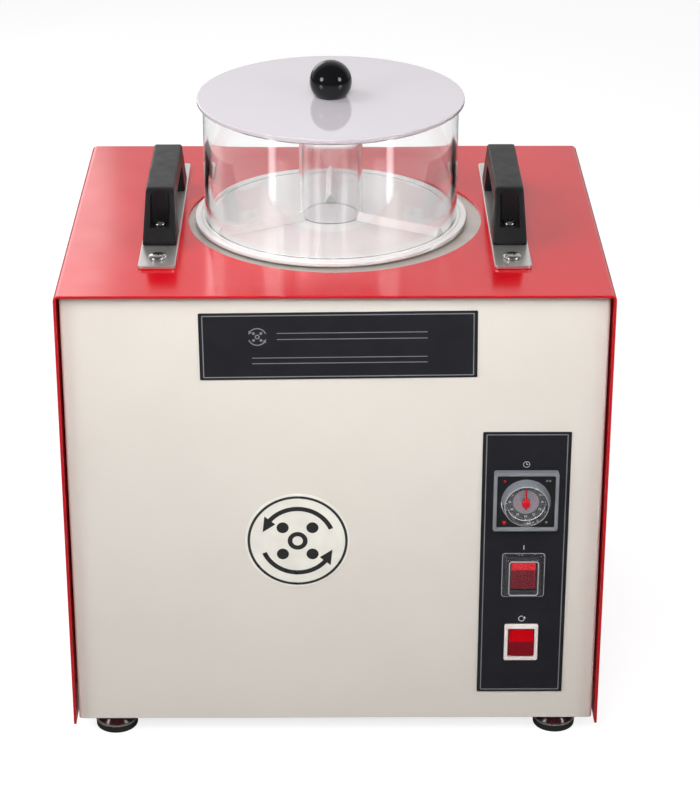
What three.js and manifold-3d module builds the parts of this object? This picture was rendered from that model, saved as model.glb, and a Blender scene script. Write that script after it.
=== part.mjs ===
// Magnetic polishing machine: a sheet-metal box whose motor spins a disc of magnets under a lift-out
// acrylic bowl. Millimetres, +Z up, -Y is the front. The origin is on the floor under the box's centre.
import * as THREE from 'three';
import { mergeVertices } from 'three/addons/utils/BufferGeometryUtils.js';
import Module from 'manifold-3d';

const wasm = await Module();
wasm.setup();

// ---- driving dimensions -----------------------------------------------------------------------
const coverWidth = 400;
const coverDepth = 320;
const coverHeight = 355;
const coverSheet = 2;
const coverBend = 4;
const footHeight = 16;
const footRadius = 16.6;
const footPadHeight = 6.8;
const footPadTaper = 0.6;
const footConeSlope = 6.6;
const footInsetX = 30.5;
const footInsetY = 28;
const seat = 0.2;              // gap left between two pieces that touch

const panelSheet = 1.5;
const panelBend = 2.5;
const panelInset = 8.3;        // how far the front and rear panels sit inside the cover's edges
const panelSideGap = 1.2;
const panelReturn = 16;
const ventSlots = 6;
const ventPitch = 14;
const ventHeight = 4;
const ventWidth = 70;
const ventX = 95;
const ventRise = 175;          // from the panel's foot to the lowest slot
const baseSheet = 2;
const baseFlange = 20;

const bowlX = -3;
const bowlY = -4;
const deckSheet = 1.5;
const deckMargin = 9;          // beyond the well on each side
const wellClearance = 8.1;     // between the bowl's flange and the edge of the well
const bowlFlangeLip = 7.5;
const bowlFlangeThickness = 3;
const bowlSpigotStep = 5.2;    // how far the spigot sits inside the flange
const bowlSpigotHeight = 2.8;
const bowlTubeRadius = 96.2;
const bowlTubeWall = 4.2;
const bowlTubeHeight = 90.4;
const bowlTubeRebate = 1.5;
const hubTubeRadius = 24.2;
const hubTubeWall = 3;
const hubTubeHeight = 82;
const ridgeCount = 3;
const ridgeWidth = 10;
const ridgeHeight = 6;
const ridgeEndGap = 0.6;       // from a ridge's end to the tube beside it
const ridgeSeat = 0.3;

const lidLip = 4.3;            // beyond the bowl's tube
const lidThickness = 3;
const lidRingHeight = 4;
const lidRingWall = 4;
const lidRingPlay = 1;
const knobRadius = 16;
const knobFlatRadius = 11.4;
const knobStudRadius = 4;
const knobWasherRadius = 8;
const knobWasherDepth = 5;     // below the lid's underside

const gripPlateClearance = 4.4; // from the edge of the well to the grip plate
const gripPlateWidth = 27;
const gripPlateOverhang = 39.5; // beyond each end of the grip
const gripPlateThickness = 2.5;
const gripPlateCorner = 3;
const gripPlateScrewInset = 16;
const gripLength = 142;
const gripEndSlope = 21;       // how far each end leans in from foot to top
const gripHeight = 38;
const gripSideMargin = 0.75;   // from the plate's long edge to the grip's foot
const gripSideSlope = 2.25;    // how far each long side leans in from foot to top
const gripBar = 13;
const gripFootLength = 27;
const gripLegTaper = 8;
const gripToe = 3;             // upright height of the foot's end face
const gripTopRound = 4;
const gripArchRound = 5;
const gripPocketWall = 3.25;
const gripPocketFloor = 12;
const gripScrewInset = 13;     // from the end of the foot

const nameplateX = 2.3;
const nameplateWidth = 200;
const nameplateHeight = 52;
const nameplateDrop = 41.7;    // from the cover's top down to the plate's centre
const nameplateTilt = 0.6;
const controlPlateWidth = 64.8;
const controlPlateHeight = 220;
const controlPlateEdgeGap = 24.1; // from the plate to the panel's right edge
const controlPlateFootGap = 24; // from the plate to the panel's foot
const plateThickness = 1;
const plateCorner = 0.6;
const badgeX = -28;
const badgeDrop = 200.5;
const badgeRadius = 39;
const badgeThickness = 0.6;

const timerSize = 48;
const timerRise = 55.2;        // above the control plate's centre
const timerCaseLip = 1.7;      // how far the bezel laps over the case behind it
const timerCaseDepth = 60;
const timerProud = 5.5;
const timerFaceRecess = 2;
const timerBezelWall = 3;
const timerCorner = 2;
const dialPlay = 2.6;          // between the dial and the bezel's wall
const dialTaper = 2;           // how much smaller the dial's front is than its back
const dialDepth = 9;
const dialGap = 0.5;           // between the dial's back and the timer's face
const dialRingWall = 2;
const dialDishDepth = 6;
const dialShaftRadius = 3;
const dialShaftPlay = 0.5;
const dialShaftLength = 10;    // behind the timer's face
const pointerHubRadius = 3.3;
const pointerHubHeight = 2.6;
const pointerTipGap = 1.9;     // from the pointer's tip to the dial's ring wall
const pointerTail = 3;
const pointerWidth = 1.2;

const switchWidth = 25.5;
const switchHeight = 31;
const switchProud = 2;
const switchCorner = 1.2;
const switchBodyMarginX = 1.75; // how far the bezel laps over the body behind it
const switchBodyMarginZ = 1.5;
const switchBodyDepth = 20;
const switchFrameX = 2.75;     // bezel on each side of the window
const switchFrameZ = 3.45;
const switchWindowDepth = 12;
const rockerPlay = 0.7;
const rockerTilt = 6;
const rockerPivotDepth = 3;
const rockerPressedY = -3.8;   // the rocker's face at its pressed end, before it tilts
const rockerRaisedY = -5.2;
const rockerRidgeY = -6.8;
const rockerRidgeRise = 1.2;
const rockerHeelY = 2;
const rockerToeY = 4;
const onSwitchRise = -8;       // from the control plate's centre
const restartRise = -66;
const bootMarginX = 3.25;      // the boot beyond the switch's bezel
const bootMarginZ = 3;
const bootDepth = 7;
const bootWall = 1.2;
const bootCorner = 3;

const rotorRadius = 88;
const rotorThickness = 12;
const rotorGap = 5;            // under the deck
const rotorHubRadius = 18;
const rotorHubLength = 14;
const magnetCount = 4;
const magnetRadius = 16;
const magnetDepth = 8;
const magnetPitchRadius = 62;
const shaftRadius = 7;
const shaftPlay = 0.4;         // round the shaft where it leaves the motor
const shaftSeatDepth = 30;     // of shaft inside the motor
const motorRadius = 56;
const motorLength = 118;
const motorBoss = 12;          // above the stand's top plate
const motorBossRadius = 20;
const motorTailStep = 8;       // how far the tail cap sits inside the motor's barrel
const motorTailLength = 10;
const standWidth = 190;
const standDepth = 130;
const standSheet = 4;
const standToe = 20;
const capacitorRadius = 20;
const capacitorLength = 70;
const capacitorEdgeGap = 46.8; // from the panel's left edge to its axis
const capacitorStandGap = 9;   // behind the motor stand
const capacitorTerminalRadius = 6;
const capacitorTerminalLength = 8;

const fanSize = 80;
const fanDepth = 25;
const fanBoreWall = 2;         // frame left beside the bore
const fanBladeGap = 2;         // from blade tip to bore
const fanBladeTwist = 38;
const fanBladeChord = 16;
const fanBladeThickness = 2;
const fanHubRadius = 14;
const fanHubLid = 4;           // thickness of the hub plate and its spokes
const fanSpokeWidth = 5;
const fanBlades = 7;
const fanCorner = 4;
const fanScrewInset = 4.2;
const fanScrewRadius = 2;
const fanX = -90;
const fanRise = 234;           // above the panel's foot
const guardRings = 3;
const guardFirstRadius = 12;
const guardPitch = 11;
const guardWire = 1.6;
const inletX = 90;
const inletRise = 54;          // above the panel's foot
const inletWidth = 50;
const inletHeight = 30;
const inletFlange = 3;
const inletBodyWidth = 27.2;
const inletBodyHeight = 20;
const inletBodyDepth = 22;
const inletWall = 1.6;
const inletSocketDepth = 16;
const inletPinPitch = 7;
const inletPinWidth = 2;
const inletPinHeight = 4;
const fuseX = 140;
const fuseRadius = 8;
const fuseStep = 2;            // how far the fuse body sits inside its cap
const fuseCapHeight = 8;
const fuseBodyDepth = 28;
const fuseSlotWidth = 1.6;
const fuseSlotDepth = 1.2;
const screwHeadRadius = 6.6;
const screwShankRadius = 3;
const coverScrewGap = 17.7;    // behind the front panel's bent-in side
const coverScrewRise = 11;     // above the base plate
const coverScrewRadius = 2;
const coverScrewHeadRadius = 4.2;
const plateScrewHeight = 3.4;
const plateScrewReach = 8;     // below the grip plate
const gripScrewHeadRadius = 5;
const gripScrewHeight = 3.2;
const gripScrewReach = 6;

// ---- levels and planes worked out from them ---------------------------------------------------
const topZ = footHeight + coverHeight;
const coverUnderside = topZ - coverSheet;
const deckTop = coverUnderside - seat;
const deckUnderside = deckTop - deckSheet;
const panelTop = deckUnderside - seat;
const bowlFlangeRadius = bowlTubeRadius + bowlFlangeLip;
const bowlSpigotRadius = bowlFlangeRadius - bowlSpigotStep;
const wellRadius = bowlFlangeRadius + wellClearance;
const lidRadius = bowlTubeRadius + lidLip;
const handleX = wellRadius + gripPlateClearance + gripPlateWidth / 2;
const gripPlateLength = gripLength + 2 * gripPlateOverhang;
const plateScrewY = gripPlateLength / 2 - gripPlateScrewInset;
const gripScrewY = gripLength / 2 - gripScrewInset;
const gripFootWidth = gripPlateWidth - 2 * gripSideMargin;
const gripTopWidth = gripFootWidth - 2 * gripSideSlope;
const gripPocketWidth = gripTopWidth - 2 * gripPocketWall;
const panelHalfWidth = coverWidth / 2 - coverSheet - panelSideGap;
const panelY = coverDepth / 2 - panelInset;
const coverScrewY = panelY - panelReturn - coverScrewGap;
const bowlBottom = deckTop + seat;
const bowlFloor = bowlBottom + bowlSpigotHeight + bowlFlangeThickness;
const bowlRim = bowlFloor + bowlTubeHeight;
const lidUnderside = bowlRim + seat;
const rotorTop = deckUnderside - rotorGap;
const rotorBottom = rotorTop - rotorThickness;
const standTop = rotorBottom - rotorHubLength - motorBoss;
const baseBottom = footHeight + seat;
const baseTop = baseBottom + baseSheet;
const coverScrewZ = baseTop + coverScrewRise;
const controlX = panelHalfWidth - controlPlateEdgeGap - controlPlateWidth / 2;
const controlPlateZ = footHeight + controlPlateFootGap + controlPlateHeight / 2;
const timerZ = controlPlateZ + timerRise;
const timerCaseSize = timerSize - 2 * timerCaseLip;
const timerFront = panelY + plateThickness + timerProud;
const dialFront = timerFront - timerFaceRecess + dialDepth;
const dialRadius = timerSize / 2 - timerBezelWall - dialPlay;
const dialFrontRadius = dialRadius - dialTaper;
const pointerLength = dialFrontRadius - dialRingWall - pointerTipGap;
const switchBodyWidth = switchWidth - 2 * switchBodyMarginX;
const switchBodyHeight = switchHeight - 2 * switchBodyMarginZ;
const switchWindowWidth = switchWidth - 2 * switchFrameX;
const switchWindowHeight = switchHeight - 2 * switchFrameZ;
const bootWidth = switchWidth + 2 * bootMarginX;
const bootHeight = switchHeight + 2 * bootMarginZ;
const fanZ = footHeight + fanRise;
const fanBore = fanSize / 2 - fanBoreWall;
const fanBladeRadius = fanBore - fanBladeGap;
const fanScrewOffset = fanSize / 2 - fanScrewInset;
const inletZ = footHeight + inletRise;
const round = 40;              // sides on a large round part
const fine = 16;               // sides on a small one

// ---- solids -----------------------------------------------------------------------------------
function solidFrom(geometry) {
  const bare = geometry.clone();
  for (const name of Object.keys(bare.attributes)) {
    if (name !== 'position') bare.deleteAttribute(name);
  }
  const merged = mergeVertices(bare, 1e-4);
  return new wasm.Manifold(new wasm.Mesh({
    numProp: 3,
    vertProperties: new Float32Array(merged.attributes.position.array),
    triVerts: new Uint32Array(merged.index.array),
  }));
}

function geometryFrom(solid) {
  const mesh = solid.getMesh();
  const geometry = new THREE.BufferGeometry();
  geometry.setAttribute('position', new THREE.BufferAttribute(mesh.vertProperties, 3));
  geometry.setIndex(new THREE.BufferAttribute(mesh.triVerts, 1));
  geometry.computeVertexNormals();
  return geometry;
}

// A box given by its lowest corner and its highest one.
function block(x0, y0, z0, x1, y1, z1) {
  const geometry = new THREE.BoxGeometry(x1 - x0, y1 - y0, z1 - z0);
  geometry.translate((x0 + x1) / 2, (y0 + y1) / 2, (z0 + z1) / 2);
  return solidFrom(geometry);
}

// An upright cylinder standing on z0.
function rod(radius, z0, z1, sides = fine, x = 0, y = 0) {
  const geometry = new THREE.CylinderGeometry(radius, radius, z1 - z0, sides);
  geometry.rotateX(Math.PI / 2);
  geometry.translate(x, y, (z0 + z1) / 2);
  return solidFrom(geometry);
}

// A cone cut short, lying along Y, with radius0 at y0 and radius1 at y1.
function coneY(radius0, radius1, y0, y1, sides = fine, x = 0, z = 0) {
  const geometry = new THREE.CylinderGeometry(radius1, radius0, y1 - y0, sides);
  geometry.translate(x, (y0 + y1) / 2, z);
  return solidFrom(geometry);
}

// A cylinder lying along Y, from y0 to y1.
function rodY(radius, y0, y1, sides = fine, x = 0, z = 0) {
  return coneY(radius, radius, y0, y1, sides, x, z);
}

// A profile of [radius, height] points turned about Z.
function turned(points, sides = round) {
  const profile = points.map(([radius, height]) => new THREE.Vector2(radius, height));
  const geometry = new THREE.LatheGeometry(profile, sides);
  geometry.rotateX(Math.PI / 2);
  return solidFrom(geometry);
}

// An outline in the XY plane, raised along Z from 0.
function raised(shape, height) {
  const settings = { depth: height, bevelEnabled: false, curveSegments: 3 };
  return solidFrom(new THREE.ExtrudeGeometry(shape, settings));
}

// An outline drawn as (x, z), pulled along Y from y0 to y1.
function pulledY(shape, y0, y1) {
  const settings = { depth: y1 - y0, bevelEnabled: false, curveSegments: 3 };
  const geometry = new THREE.ExtrudeGeometry(shape, settings);
  geometry.rotateX(Math.PI / 2);
  geometry.translate(0, y1, 0);
  return solidFrom(geometry);
}

// An outline drawn as (y, z), pulled along X, centred on x = 0.
function pulledX(shape, width) {
  const settings = { depth: width, bevelEnabled: false, curveSegments: 3 };
  const geometry = new THREE.ExtrudeGeometry(shape, settings);
  geometry.rotateX(Math.PI / 2);
  geometry.rotateZ(Math.PI / 2);
  geometry.translate(-width / 2, 0, 0);
  return solidFrom(geometry);
}

function polygon(points) {
  const shape = new THREE.Shape();
  shape.setFromPoints(points.map(([x, y]) => new THREE.Vector2(x, y)));
  return shape;
}

function roundedRectangle(width, height, corner) {
  const x = width / 2;
  const y = height / 2;
  const shape = new THREE.Shape();
  shape.moveTo(-x + corner, -y);
  shape.lineTo(x - corner, -y);
  shape.absarc(x - corner, -y + corner, corner, -Math.PI / 2, 0);
  shape.absarc(x - corner, y - corner, corner, 0, Math.PI / 2);
  shape.absarc(-x + corner, y - corner, corner, Math.PI / 2, Math.PI);
  shape.absarc(-x + corner, -y + corner, corner, Math.PI, 1.5 * Math.PI);
  return shape;
}

// The outline of a bent channel: a web along the bottom with a leg up at each end.
function channel(halfWidth, legHeight, sheet, bend) {
  const inner = Math.max(bend - sheet, 0.3);
  const shape = new THREE.Shape();
  shape.moveTo(-halfWidth, legHeight);
  shape.lineTo(-halfWidth, bend);
  shape.absarc(-halfWidth + bend, bend, bend, Math.PI, 1.5 * Math.PI);
  shape.lineTo(halfWidth - bend, 0);
  shape.absarc(halfWidth - bend, bend, bend, 1.5 * Math.PI, 2 * Math.PI);
  shape.lineTo(halfWidth, legHeight);
  shape.lineTo(halfWidth - sheet, legHeight);
  shape.lineTo(halfWidth - sheet, sheet + inner);
  shape.absarc(halfWidth - sheet - inner, sheet + inner, inner, 0, -Math.PI / 2, true);
  shape.lineTo(-halfWidth + sheet + inner, sheet);
  shape.absarc(-halfWidth + sheet + inner, sheet + inner, inner, -Math.PI / 2, -Math.PI, true);
  shape.lineTo(-halfWidth + sheet, legHeight);
  return shape;
}

// ---- materials and nodes ----------------------------------------------------------------------
const finishes = {
  redPaint: { color: 0xc8101a, roughness: 0.25, metalness: 0.1 },
  creamPaint: { color: 0xe4dccd, roughness: 0.45, metalness: 0.0 },
  stainless: { color: 0xb9b6b0, roughness: 0.3, metalness: 1.0 },
  steel: { color: 0x9a9a9c, roughness: 0.4, metalness: 1.0 },
  blackPlastic: { color: 0x232326, roughness: 0.5, metalness: 0.0 },
  blackGloss: { color: 0x0c0c0d, roughness: 0.08, metalness: 0.0 },
  clearAcrylic: { color: 0xf2f6f6, roughness: 0.03, metalness: 0.0, opacity: 0.25, transparent: true },
  opalAcrylic: { color: 0xe2dde2, roughness: 0.06, metalness: 0.0, opacity: 0.85, transparent: true },
  whitePlastic: { color: 0xeceae8, roughness: 0.35, metalness: 0.0 },
  platePrint: { color: 0x232328, roughness: 0.35, metalness: 0.2 },
  redPlastic: { color: 0xc01018, roughness: 0.2, metalness: 0.0 },
  rubber: { color: 0x161616, roughness: 0.8, metalness: 0.0 },
  motorPaint: { color: 0x4b5258, roughness: 0.5, metalness: 0.3 },
  aluminium: { color: 0xc4c6c8, roughness: 0.35, metalness: 1.0 },
  magnetPlate: { color: 0xd0d0d2, roughness: 0.2, metalness: 1.0 },
};

const group = new THREE.Group();

// Adds one named piece. Its solid is drawn about its own reference point, which lies at (x, y, z).
function add(name, solid, finish, x = 0, y = 0, z = 0, parent = group) {
  const material = new THREE.MeshStandardMaterial(finishes[finish]);
  const mesh = new THREE.Mesh(geometryFrom(solid), material);
  mesh.name = name;
  mesh.position.set(x, y, z);
  parent.add(mesh);
  return mesh;
}

// Where the four grip-plate screws and the four grip screws go through, seen from above.
function gripHoles() {
  const holes = [];
  for (const side of [-1, 1]) {
    for (const end of [-1, 1]) {
      holes.push([side * handleX, end * plateScrewY]);
      holes.push([side * handleX, end * gripScrewY]);
    }
  }
  return holes;
}

// ---- casing -----------------------------------------------------------------------------------
function addCover() {
  const outline = channel(coverWidth / 2, coverHeight, coverSheet, coverBend);
  let cover = pulledY(outline, -coverDepth / 2, coverDepth / 2).mirror([0, 0, 1]);
  cover = cover.subtract(rod(wellRadius, -coverSheet - 1, 1, 64, 0, bowlY));
  for (const [x, y] of gripHoles()) {
    cover = cover.subtract(rod(screwShankRadius + seat, -coverSheet - 1, 1, 12, x, y));
  }
  for (const y of [-coverScrewY, coverScrewY]) {
    cover = cover.subtract(coverScrewBore(y, coverScrewZ - topZ));
  }
  add('cover', cover, 'redPaint', 0, 0, topZ);
}

// One bore along X, right through both sides of the machine.
function coverScrewBore(y, z) {
  const radius = coverScrewRadius + seat;
  const geometry = new THREE.CylinderGeometry(radius, radius, coverWidth + 10, 12);
  geometry.rotateZ(Math.PI / 2);
  geometry.translate(0, y, z);
  return solidFrom(geometry);
}

// A cream end panel: a face with bent sides and a bent-in top edge. Its face looks along -Y.
function endPanel() {
  const height = panelTop - footHeight;
  const shell = raised(channel(panelHalfWidth, panelReturn, panelSheet, panelBend), height);
  const lipHalf = panelHalfWidth - panelSheet / 2;
  const lip = block(-lipHalf, panelSheet / 2, height - panelSheet, lipHalf, panelReturn, height);
  return shell.add(lip);
}

// The control openings, which go through the panel and its plate, about the control plate's centre.
function controlOpenings() {
  const timerHalf = timerCaseSize / 2 + seat;
  const halfWidth = switchBodyWidth / 2 + seat;
  const halfHeight = switchBodyHeight / 2 + seat;
  const depth = 5;
  let openings = block(
    -timerHalf, -depth, timerRise - timerHalf, timerHalf, depth, timerRise + timerHalf);
  for (const rise of [onSwitchRise, restartRise]) {
    openings = openings.add(block(
      -halfWidth, -depth, rise - halfHeight, halfWidth, depth, rise + halfHeight));
  }
  return openings;
}

function addFrontPanel() {
  const openings = controlOpenings().translate([controlX, 0, controlPlateZ - footHeight]);
  add('front_panel', endPanel().subtract(openings), 'creamPaint', 0, -panelY, footHeight);
}

function addRearPanel() {
  // Seen from behind, the panel is turned round, so its x runs the other way.
  let panel = endPanel().subtract(rodY(fanBore, -1, panelSheet + 1, 32, -fanX, fanRise));
  const inletHalfWidth = inletBodyWidth / 2 + 2 * seat;
  const inletHalfHeight = inletBodyHeight / 2 + 2 * seat;
  panel = panel.subtract(block(
    -inletX - inletHalfWidth, -1, inletRise - inletHalfHeight,
    -inletX + inletHalfWidth, panelSheet + 1, inletRise + inletHalfHeight));
  panel = panel.subtract(rodY(fuseRadius - fuseStep + seat, -1, panelSheet + 1, fine, -fuseX, inletRise));
  for (let i = 0; i < ventSlots; i += 1) {
    const low = ventRise + i * ventPitch;
    panel = panel.subtract(block(
      -ventX - ventWidth / 2, -1, low, -ventX + ventWidth / 2, panelSheet + 1, low + ventHeight));
  }
  const mesh = add('rear_panel', panel, 'creamPaint', 0, panelY, footHeight);
  mesh.rotation.z = Math.PI;
}

function footPlaces() {
  const x = coverWidth / 2 - footInsetX;
  const y = coverDepth / 2 - footInsetY;
  return { front_left: [-x, -y], front_right: [x, -y], rear_left: [-x, y], rear_right: [x, y] };
}

function addBase() {
  const halfWidth = panelHalfWidth - panelBend - seat;
  const halfDepth = panelY - panelSheet - seat;
  let base = pulledY(channel(halfWidth, baseFlange, baseSheet, panelBend), -halfDepth, halfDepth);
  for (const y of [-coverScrewY, coverScrewY]) {
    base = base.subtract(coverScrewBore(y, coverScrewZ - baseBottom));
  }
  for (const [x, y] of Object.values(footPlaces())) {
    base = base.subtract(rod(screwShankRadius + seat, -1, baseSheet + 1, 16, x, y));
  }
  add('base_plate', base, 'creamPaint', 0, 0, baseBottom);
}

// A screw-on foot: a cone over a rubber pad.
function addFeet() {
  const body = turned([
    [0, 0], [footRadius - footPadTaper, 0], [footRadius, footPadHeight],
    [footRadius - footConeSlope, footHeight - seat], [0, footHeight - seat],
  ], 20);
  for (const [place, [x, y]] of Object.entries(footPlaces())) {
    add(`foot_${place}`, body, 'rubber', x, y, 0);
  }
}

function addCoverScrews() {
  const reach = coverWidth / 2 - panelHalfWidth + panelSheet + baseSheet + 4;
  const screw = turned([
    [0, -reach], [coverScrewRadius, -reach], [coverScrewRadius, seat / 2],
    [coverScrewHeadRadius, seat / 2], [coverScrewHeadRadius - 1, 1.6], [0, 2],
  ], 10);
  const places = { left_front: [-1, -1], left_rear: [-1, 1], right_front: [1, -1], right_rear: [1, 1] };
  for (const [place, [side, end]] of Object.entries(places)) {
    const mesh = add(
      `cover_screw_${place}`, screw, 'steel', side * coverWidth / 2, end * coverScrewY, coverScrewZ);
    mesh.rotation.y = side * Math.PI / 2;
  }
}

// ---- handles ----------------------------------------------------------------------------------
// The bridge grip seen from the side, drawn as (y, z) about its own centre.
function gripOutline() {
  const foot = gripLength / 2;
  const top = foot - gripEndSlope;
  const legFoot = foot - gripFootLength;
  const legTop = legFoot - gripLegTaper;
  const under = gripHeight - gripBar;
  const shape = new THREE.Shape();
  shape.moveTo(-foot, 0);
  shape.lineTo(-foot, gripToe);
  shape.lineTo(-top - gripTopRound + 1, gripHeight - gripTopRound);
  shape.quadraticCurveTo(-top - 1, gripHeight, -top + gripTopRound, gripHeight);
  shape.lineTo(top - gripTopRound, gripHeight);
  shape.quadraticCurveTo(top + 1, gripHeight, top + gripTopRound - 1, gripHeight - gripTopRound);
  shape.lineTo(foot, gripToe);
  shape.lineTo(foot, 0);
  shape.lineTo(legFoot, 0);
  shape.lineTo(legTop + 1, under - gripArchRound);
  shape.quadraticCurveTo(legTop, under, legTop - gripArchRound - 1, under);
  shape.lineTo(-legTop + gripArchRound + 1, under);
  shape.quadraticCurveTo(-legTop, under, -legTop - 1, under - gripArchRound);
  shape.lineTo(-legFoot, 0);
  return shape;
}

function gripSolid() {
  let grip = pulledX(gripOutline(), gripFootWidth);
  const halfFoot = gripFootWidth / 2;
  const halfTop = gripTopWidth / 2;
  const section = polygon([
    [-halfFoot, -1], [halfFoot, -1], [halfTop, gripHeight + 1], [-halfTop, gripHeight + 1],
  ]);
  grip = grip.intersect(pulledY(section, -gripLength, gripLength));
  const pocketBack = gripLength / 2 - gripEndSlope + 1;
  for (const end of [-1, 1]) {
    const near = end * pocketBack;
    const far = end * gripLength;
    grip = grip.subtract(block(
      -gripPocketWidth / 2, Math.min(near, far), gripPocketFloor,
      gripPocketWidth / 2, Math.max(near, far), gripHeight + 1));
    grip = grip.subtract(rod(
      screwShankRadius + seat, -1, gripPocketFloor + 1, 12, 0, end * gripScrewY));
  }
  return grip;
}

// A low domed screw head above z = 0 with its shank below.
function screwSolid(headRadius, headHeight, shankRadius, shankLength) {
  return turned([
    [0, -shankLength], [shankRadius, -shankLength], [shankRadius, 0], [headRadius, 0],
    [headRadius * 0.7, headHeight * 0.85], [0, headHeight],
  ], 12);
}

function addHandle(side, sideName) {
  const handle = new THREE.Group();
  handle.position.set(side * handleX, 0, topZ + seat);
  group.add(handle);

  let plate = raised(roundedRectangle(gripPlateWidth, gripPlateLength, gripPlateCorner), gripPlateThickness);
  for (const y of [-plateScrewY, -gripScrewY, gripScrewY, plateScrewY]) {
    plate = plate.subtract(rod(screwShankRadius + seat, -1, gripPlateThickness + 1, 12, 0, y));
  }
  add(`grip_plate_${sideName}`, plate, 'stainless', 0, 0, 0, handle);
  add(`grip_${sideName}`, gripSolid(), 'blackPlastic', 0, 0, gripPlateThickness + seat, handle);

  const plateScrew = screwSolid(
    screwHeadRadius, plateScrewHeight, screwShankRadius, gripPlateThickness + plateScrewReach);
  const gripScrew = screwSolid(
    gripScrewHeadRadius, gripScrewHeight, screwShankRadius,
    gripPocketFloor + gripPlateThickness + gripScrewReach);
  for (const [end, endName] of [[-1, 'front'], [1, 'rear']]) {
    add(`plate_screw_${sideName}_${endName}`, plateScrew, 'steel',
      0, end * plateScrewY, gripPlateThickness + seat, handle);
    add(`grip_screw_${sideName}_${endName}`, gripScrew, 'steel',
      0, end * gripScrewY, gripPlateThickness + gripPocketFloor + 2 * seat, handle);
  }
}

// ---- bowl and lid -----------------------------------------------------------------------------
function addDeck() {
  const halfWidth = wellRadius + deckMargin;
  const halfDepth = panelY - panelBend - seat;
  const deck = block(-halfWidth, -halfDepth, -deckSheet, halfWidth, halfDepth, 0);
  add('deck_plate', deck, 'stainless', 0, 0, deckTop);
}

function addBowl() {
  const bowl = new THREE.Group();
  bowl.position.set(bowlX, bowlY, 0);
  group.add(bowl);

  const spigotTop = bowlBottom + bowlSpigotHeight;
  const innerRadius = bowlTubeRadius - bowlTubeWall;
  const rebate = bowlFloor - bowlTubeRebate;
  const base = turned([
    [0, bowlBottom], [bowlSpigotRadius, bowlBottom], [bowlSpigotRadius, spigotTop],
    [bowlFlangeRadius, spigotTop], [bowlFlangeRadius, bowlFloor],
    [bowlTubeRadius + seat, bowlFloor], [bowlTubeRadius + seat, rebate],
    [innerRadius - seat, rebate], [innerRadius - seat, bowlFloor],
    [hubTubeRadius + seat, bowlFloor], [hubTubeRadius + seat, rebate],
    [hubTubeRadius - hubTubeWall - seat, rebate], [hubTubeRadius - hubTubeWall - seat, bowlFloor],
    [0, bowlFloor],
  ], round);
  add('bowl_base', base, 'whitePlastic', 0, 0, 0, bowl);

  const tubeFoot = rebate + seat;
  const wall = turned([
    [innerRadius, tubeFoot], [bowlTubeRadius, tubeFoot], [bowlTubeRadius, bowlRim],
    [innerRadius, bowlRim], [innerRadius, tubeFoot],
  ], round);
  add('bowl_wall', wall, 'clearAcrylic', 0, 0, 0, bowl);

  const hubInner = hubTubeRadius - hubTubeWall;
  const hubTop = bowlFloor + hubTubeHeight;
  const hub = turned([
    [hubInner, tubeFoot], [hubTubeRadius, tubeFoot], [hubTubeRadius, hubTop],
    [hubInner, hubTop], [hubInner, tubeFoot],
  ], round);
  add('centre_tube', hub, 'clearAcrylic', 0, 0, 0, bowl);

  const ridgeSection = polygon([[-ridgeWidth / 2, 0], [ridgeWidth / 2, 0], [0, ridgeHeight]]);
  const ridge = pulledY(ridgeSection, hubTubeRadius + ridgeEndGap, innerRadius - ridgeEndGap);
  for (let i = 0; i < ridgeCount; i += 1) {
    const mesh = add(`mixing_ridge_${i + 1}`, ridge, 'whitePlastic', 0, 0, bowlFloor + ridgeSeat, bowl);
    mesh.rotation.z = i * 2 * Math.PI / ridgeCount;
  }
}

function addLid() {
  const lid = new THREE.Group();
  lid.position.set(bowlX, bowlY, lidUnderside);
  group.add(lid);

  const disc = turned([
    [0, 0], [lidRadius, 0], [lidRadius, lidThickness], [0, lidThickness],
  ], round).subtract(rod(knobStudRadius + seat, -1, lidThickness + 1, fine));
  add('lid', disc, 'opalAcrylic', 0, 0, 0, lid);

  const outer = bowlTubeRadius - bowlTubeWall - lidRingPlay;
  const ring = turned([
    [outer - lidRingWall, -lidRingHeight], [outer, -lidRingHeight], [outer, -seat],
    [outer - lidRingWall, -seat], [outer - lidRingWall, -lidRingHeight],
  ], round);
  add('lid_ring', ring, 'clearAcrylic', 0, 0, 0, lid);

  // The ball is cut flat where it meets the lid, and its stud hangs through to a washer below.
  const flatDrop = Math.sqrt(knobRadius ** 2 - knobFlatRadius ** 2);
  const ballCentre = lidThickness + seat + flatDrop;
  const profile = [
    [0, -knobWasherDepth], [knobWasherRadius, -knobWasherDepth], [knobWasherRadius, -seat],
    [knobStudRadius, -seat], [knobStudRadius, lidThickness + seat],
  ];
  const startAngle = Math.asin(knobFlatRadius / knobRadius);
  const steps = 10;
  for (let i = 0; i < steps; i += 1) {
    const angle = startAngle + (Math.PI - startAngle) * i / steps;
    profile.push([knobRadius * Math.sin(angle), ballCentre - knobRadius * Math.cos(angle)]);
  }
  profile.push([0, ballCentre + knobRadius]);
  add('knob_ball', turned(profile, 20), 'blackGloss', 0, 0, 0, lid);
}

// ---- plates and badge -------------------------------------------------------------------------
function facePlate(width, height) {
  return pulledY(roundedRectangle(width, height, plateCorner), -plateThickness, -seat / 4);
}

function addPlates() {
  const nameplate = add('nameplate', facePlate(nameplateWidth, nameplateHeight), 'platePrint',
    nameplateX, -panelY, topZ - nameplateDrop);
  nameplate.rotation.y = -THREE.MathUtils.degToRad(nameplateTilt);

  const control = facePlate(controlPlateWidth, controlPlateHeight).subtract(controlOpenings());
  add('control_plate', control, 'platePrint', controlX, -panelY, controlPlateZ);

  add('badge', rodY(badgeRadius, -badgeThickness, -seat / 4, 32), 'platePrint',
    badgeX, -panelY, topZ - badgeDrop);
}

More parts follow.
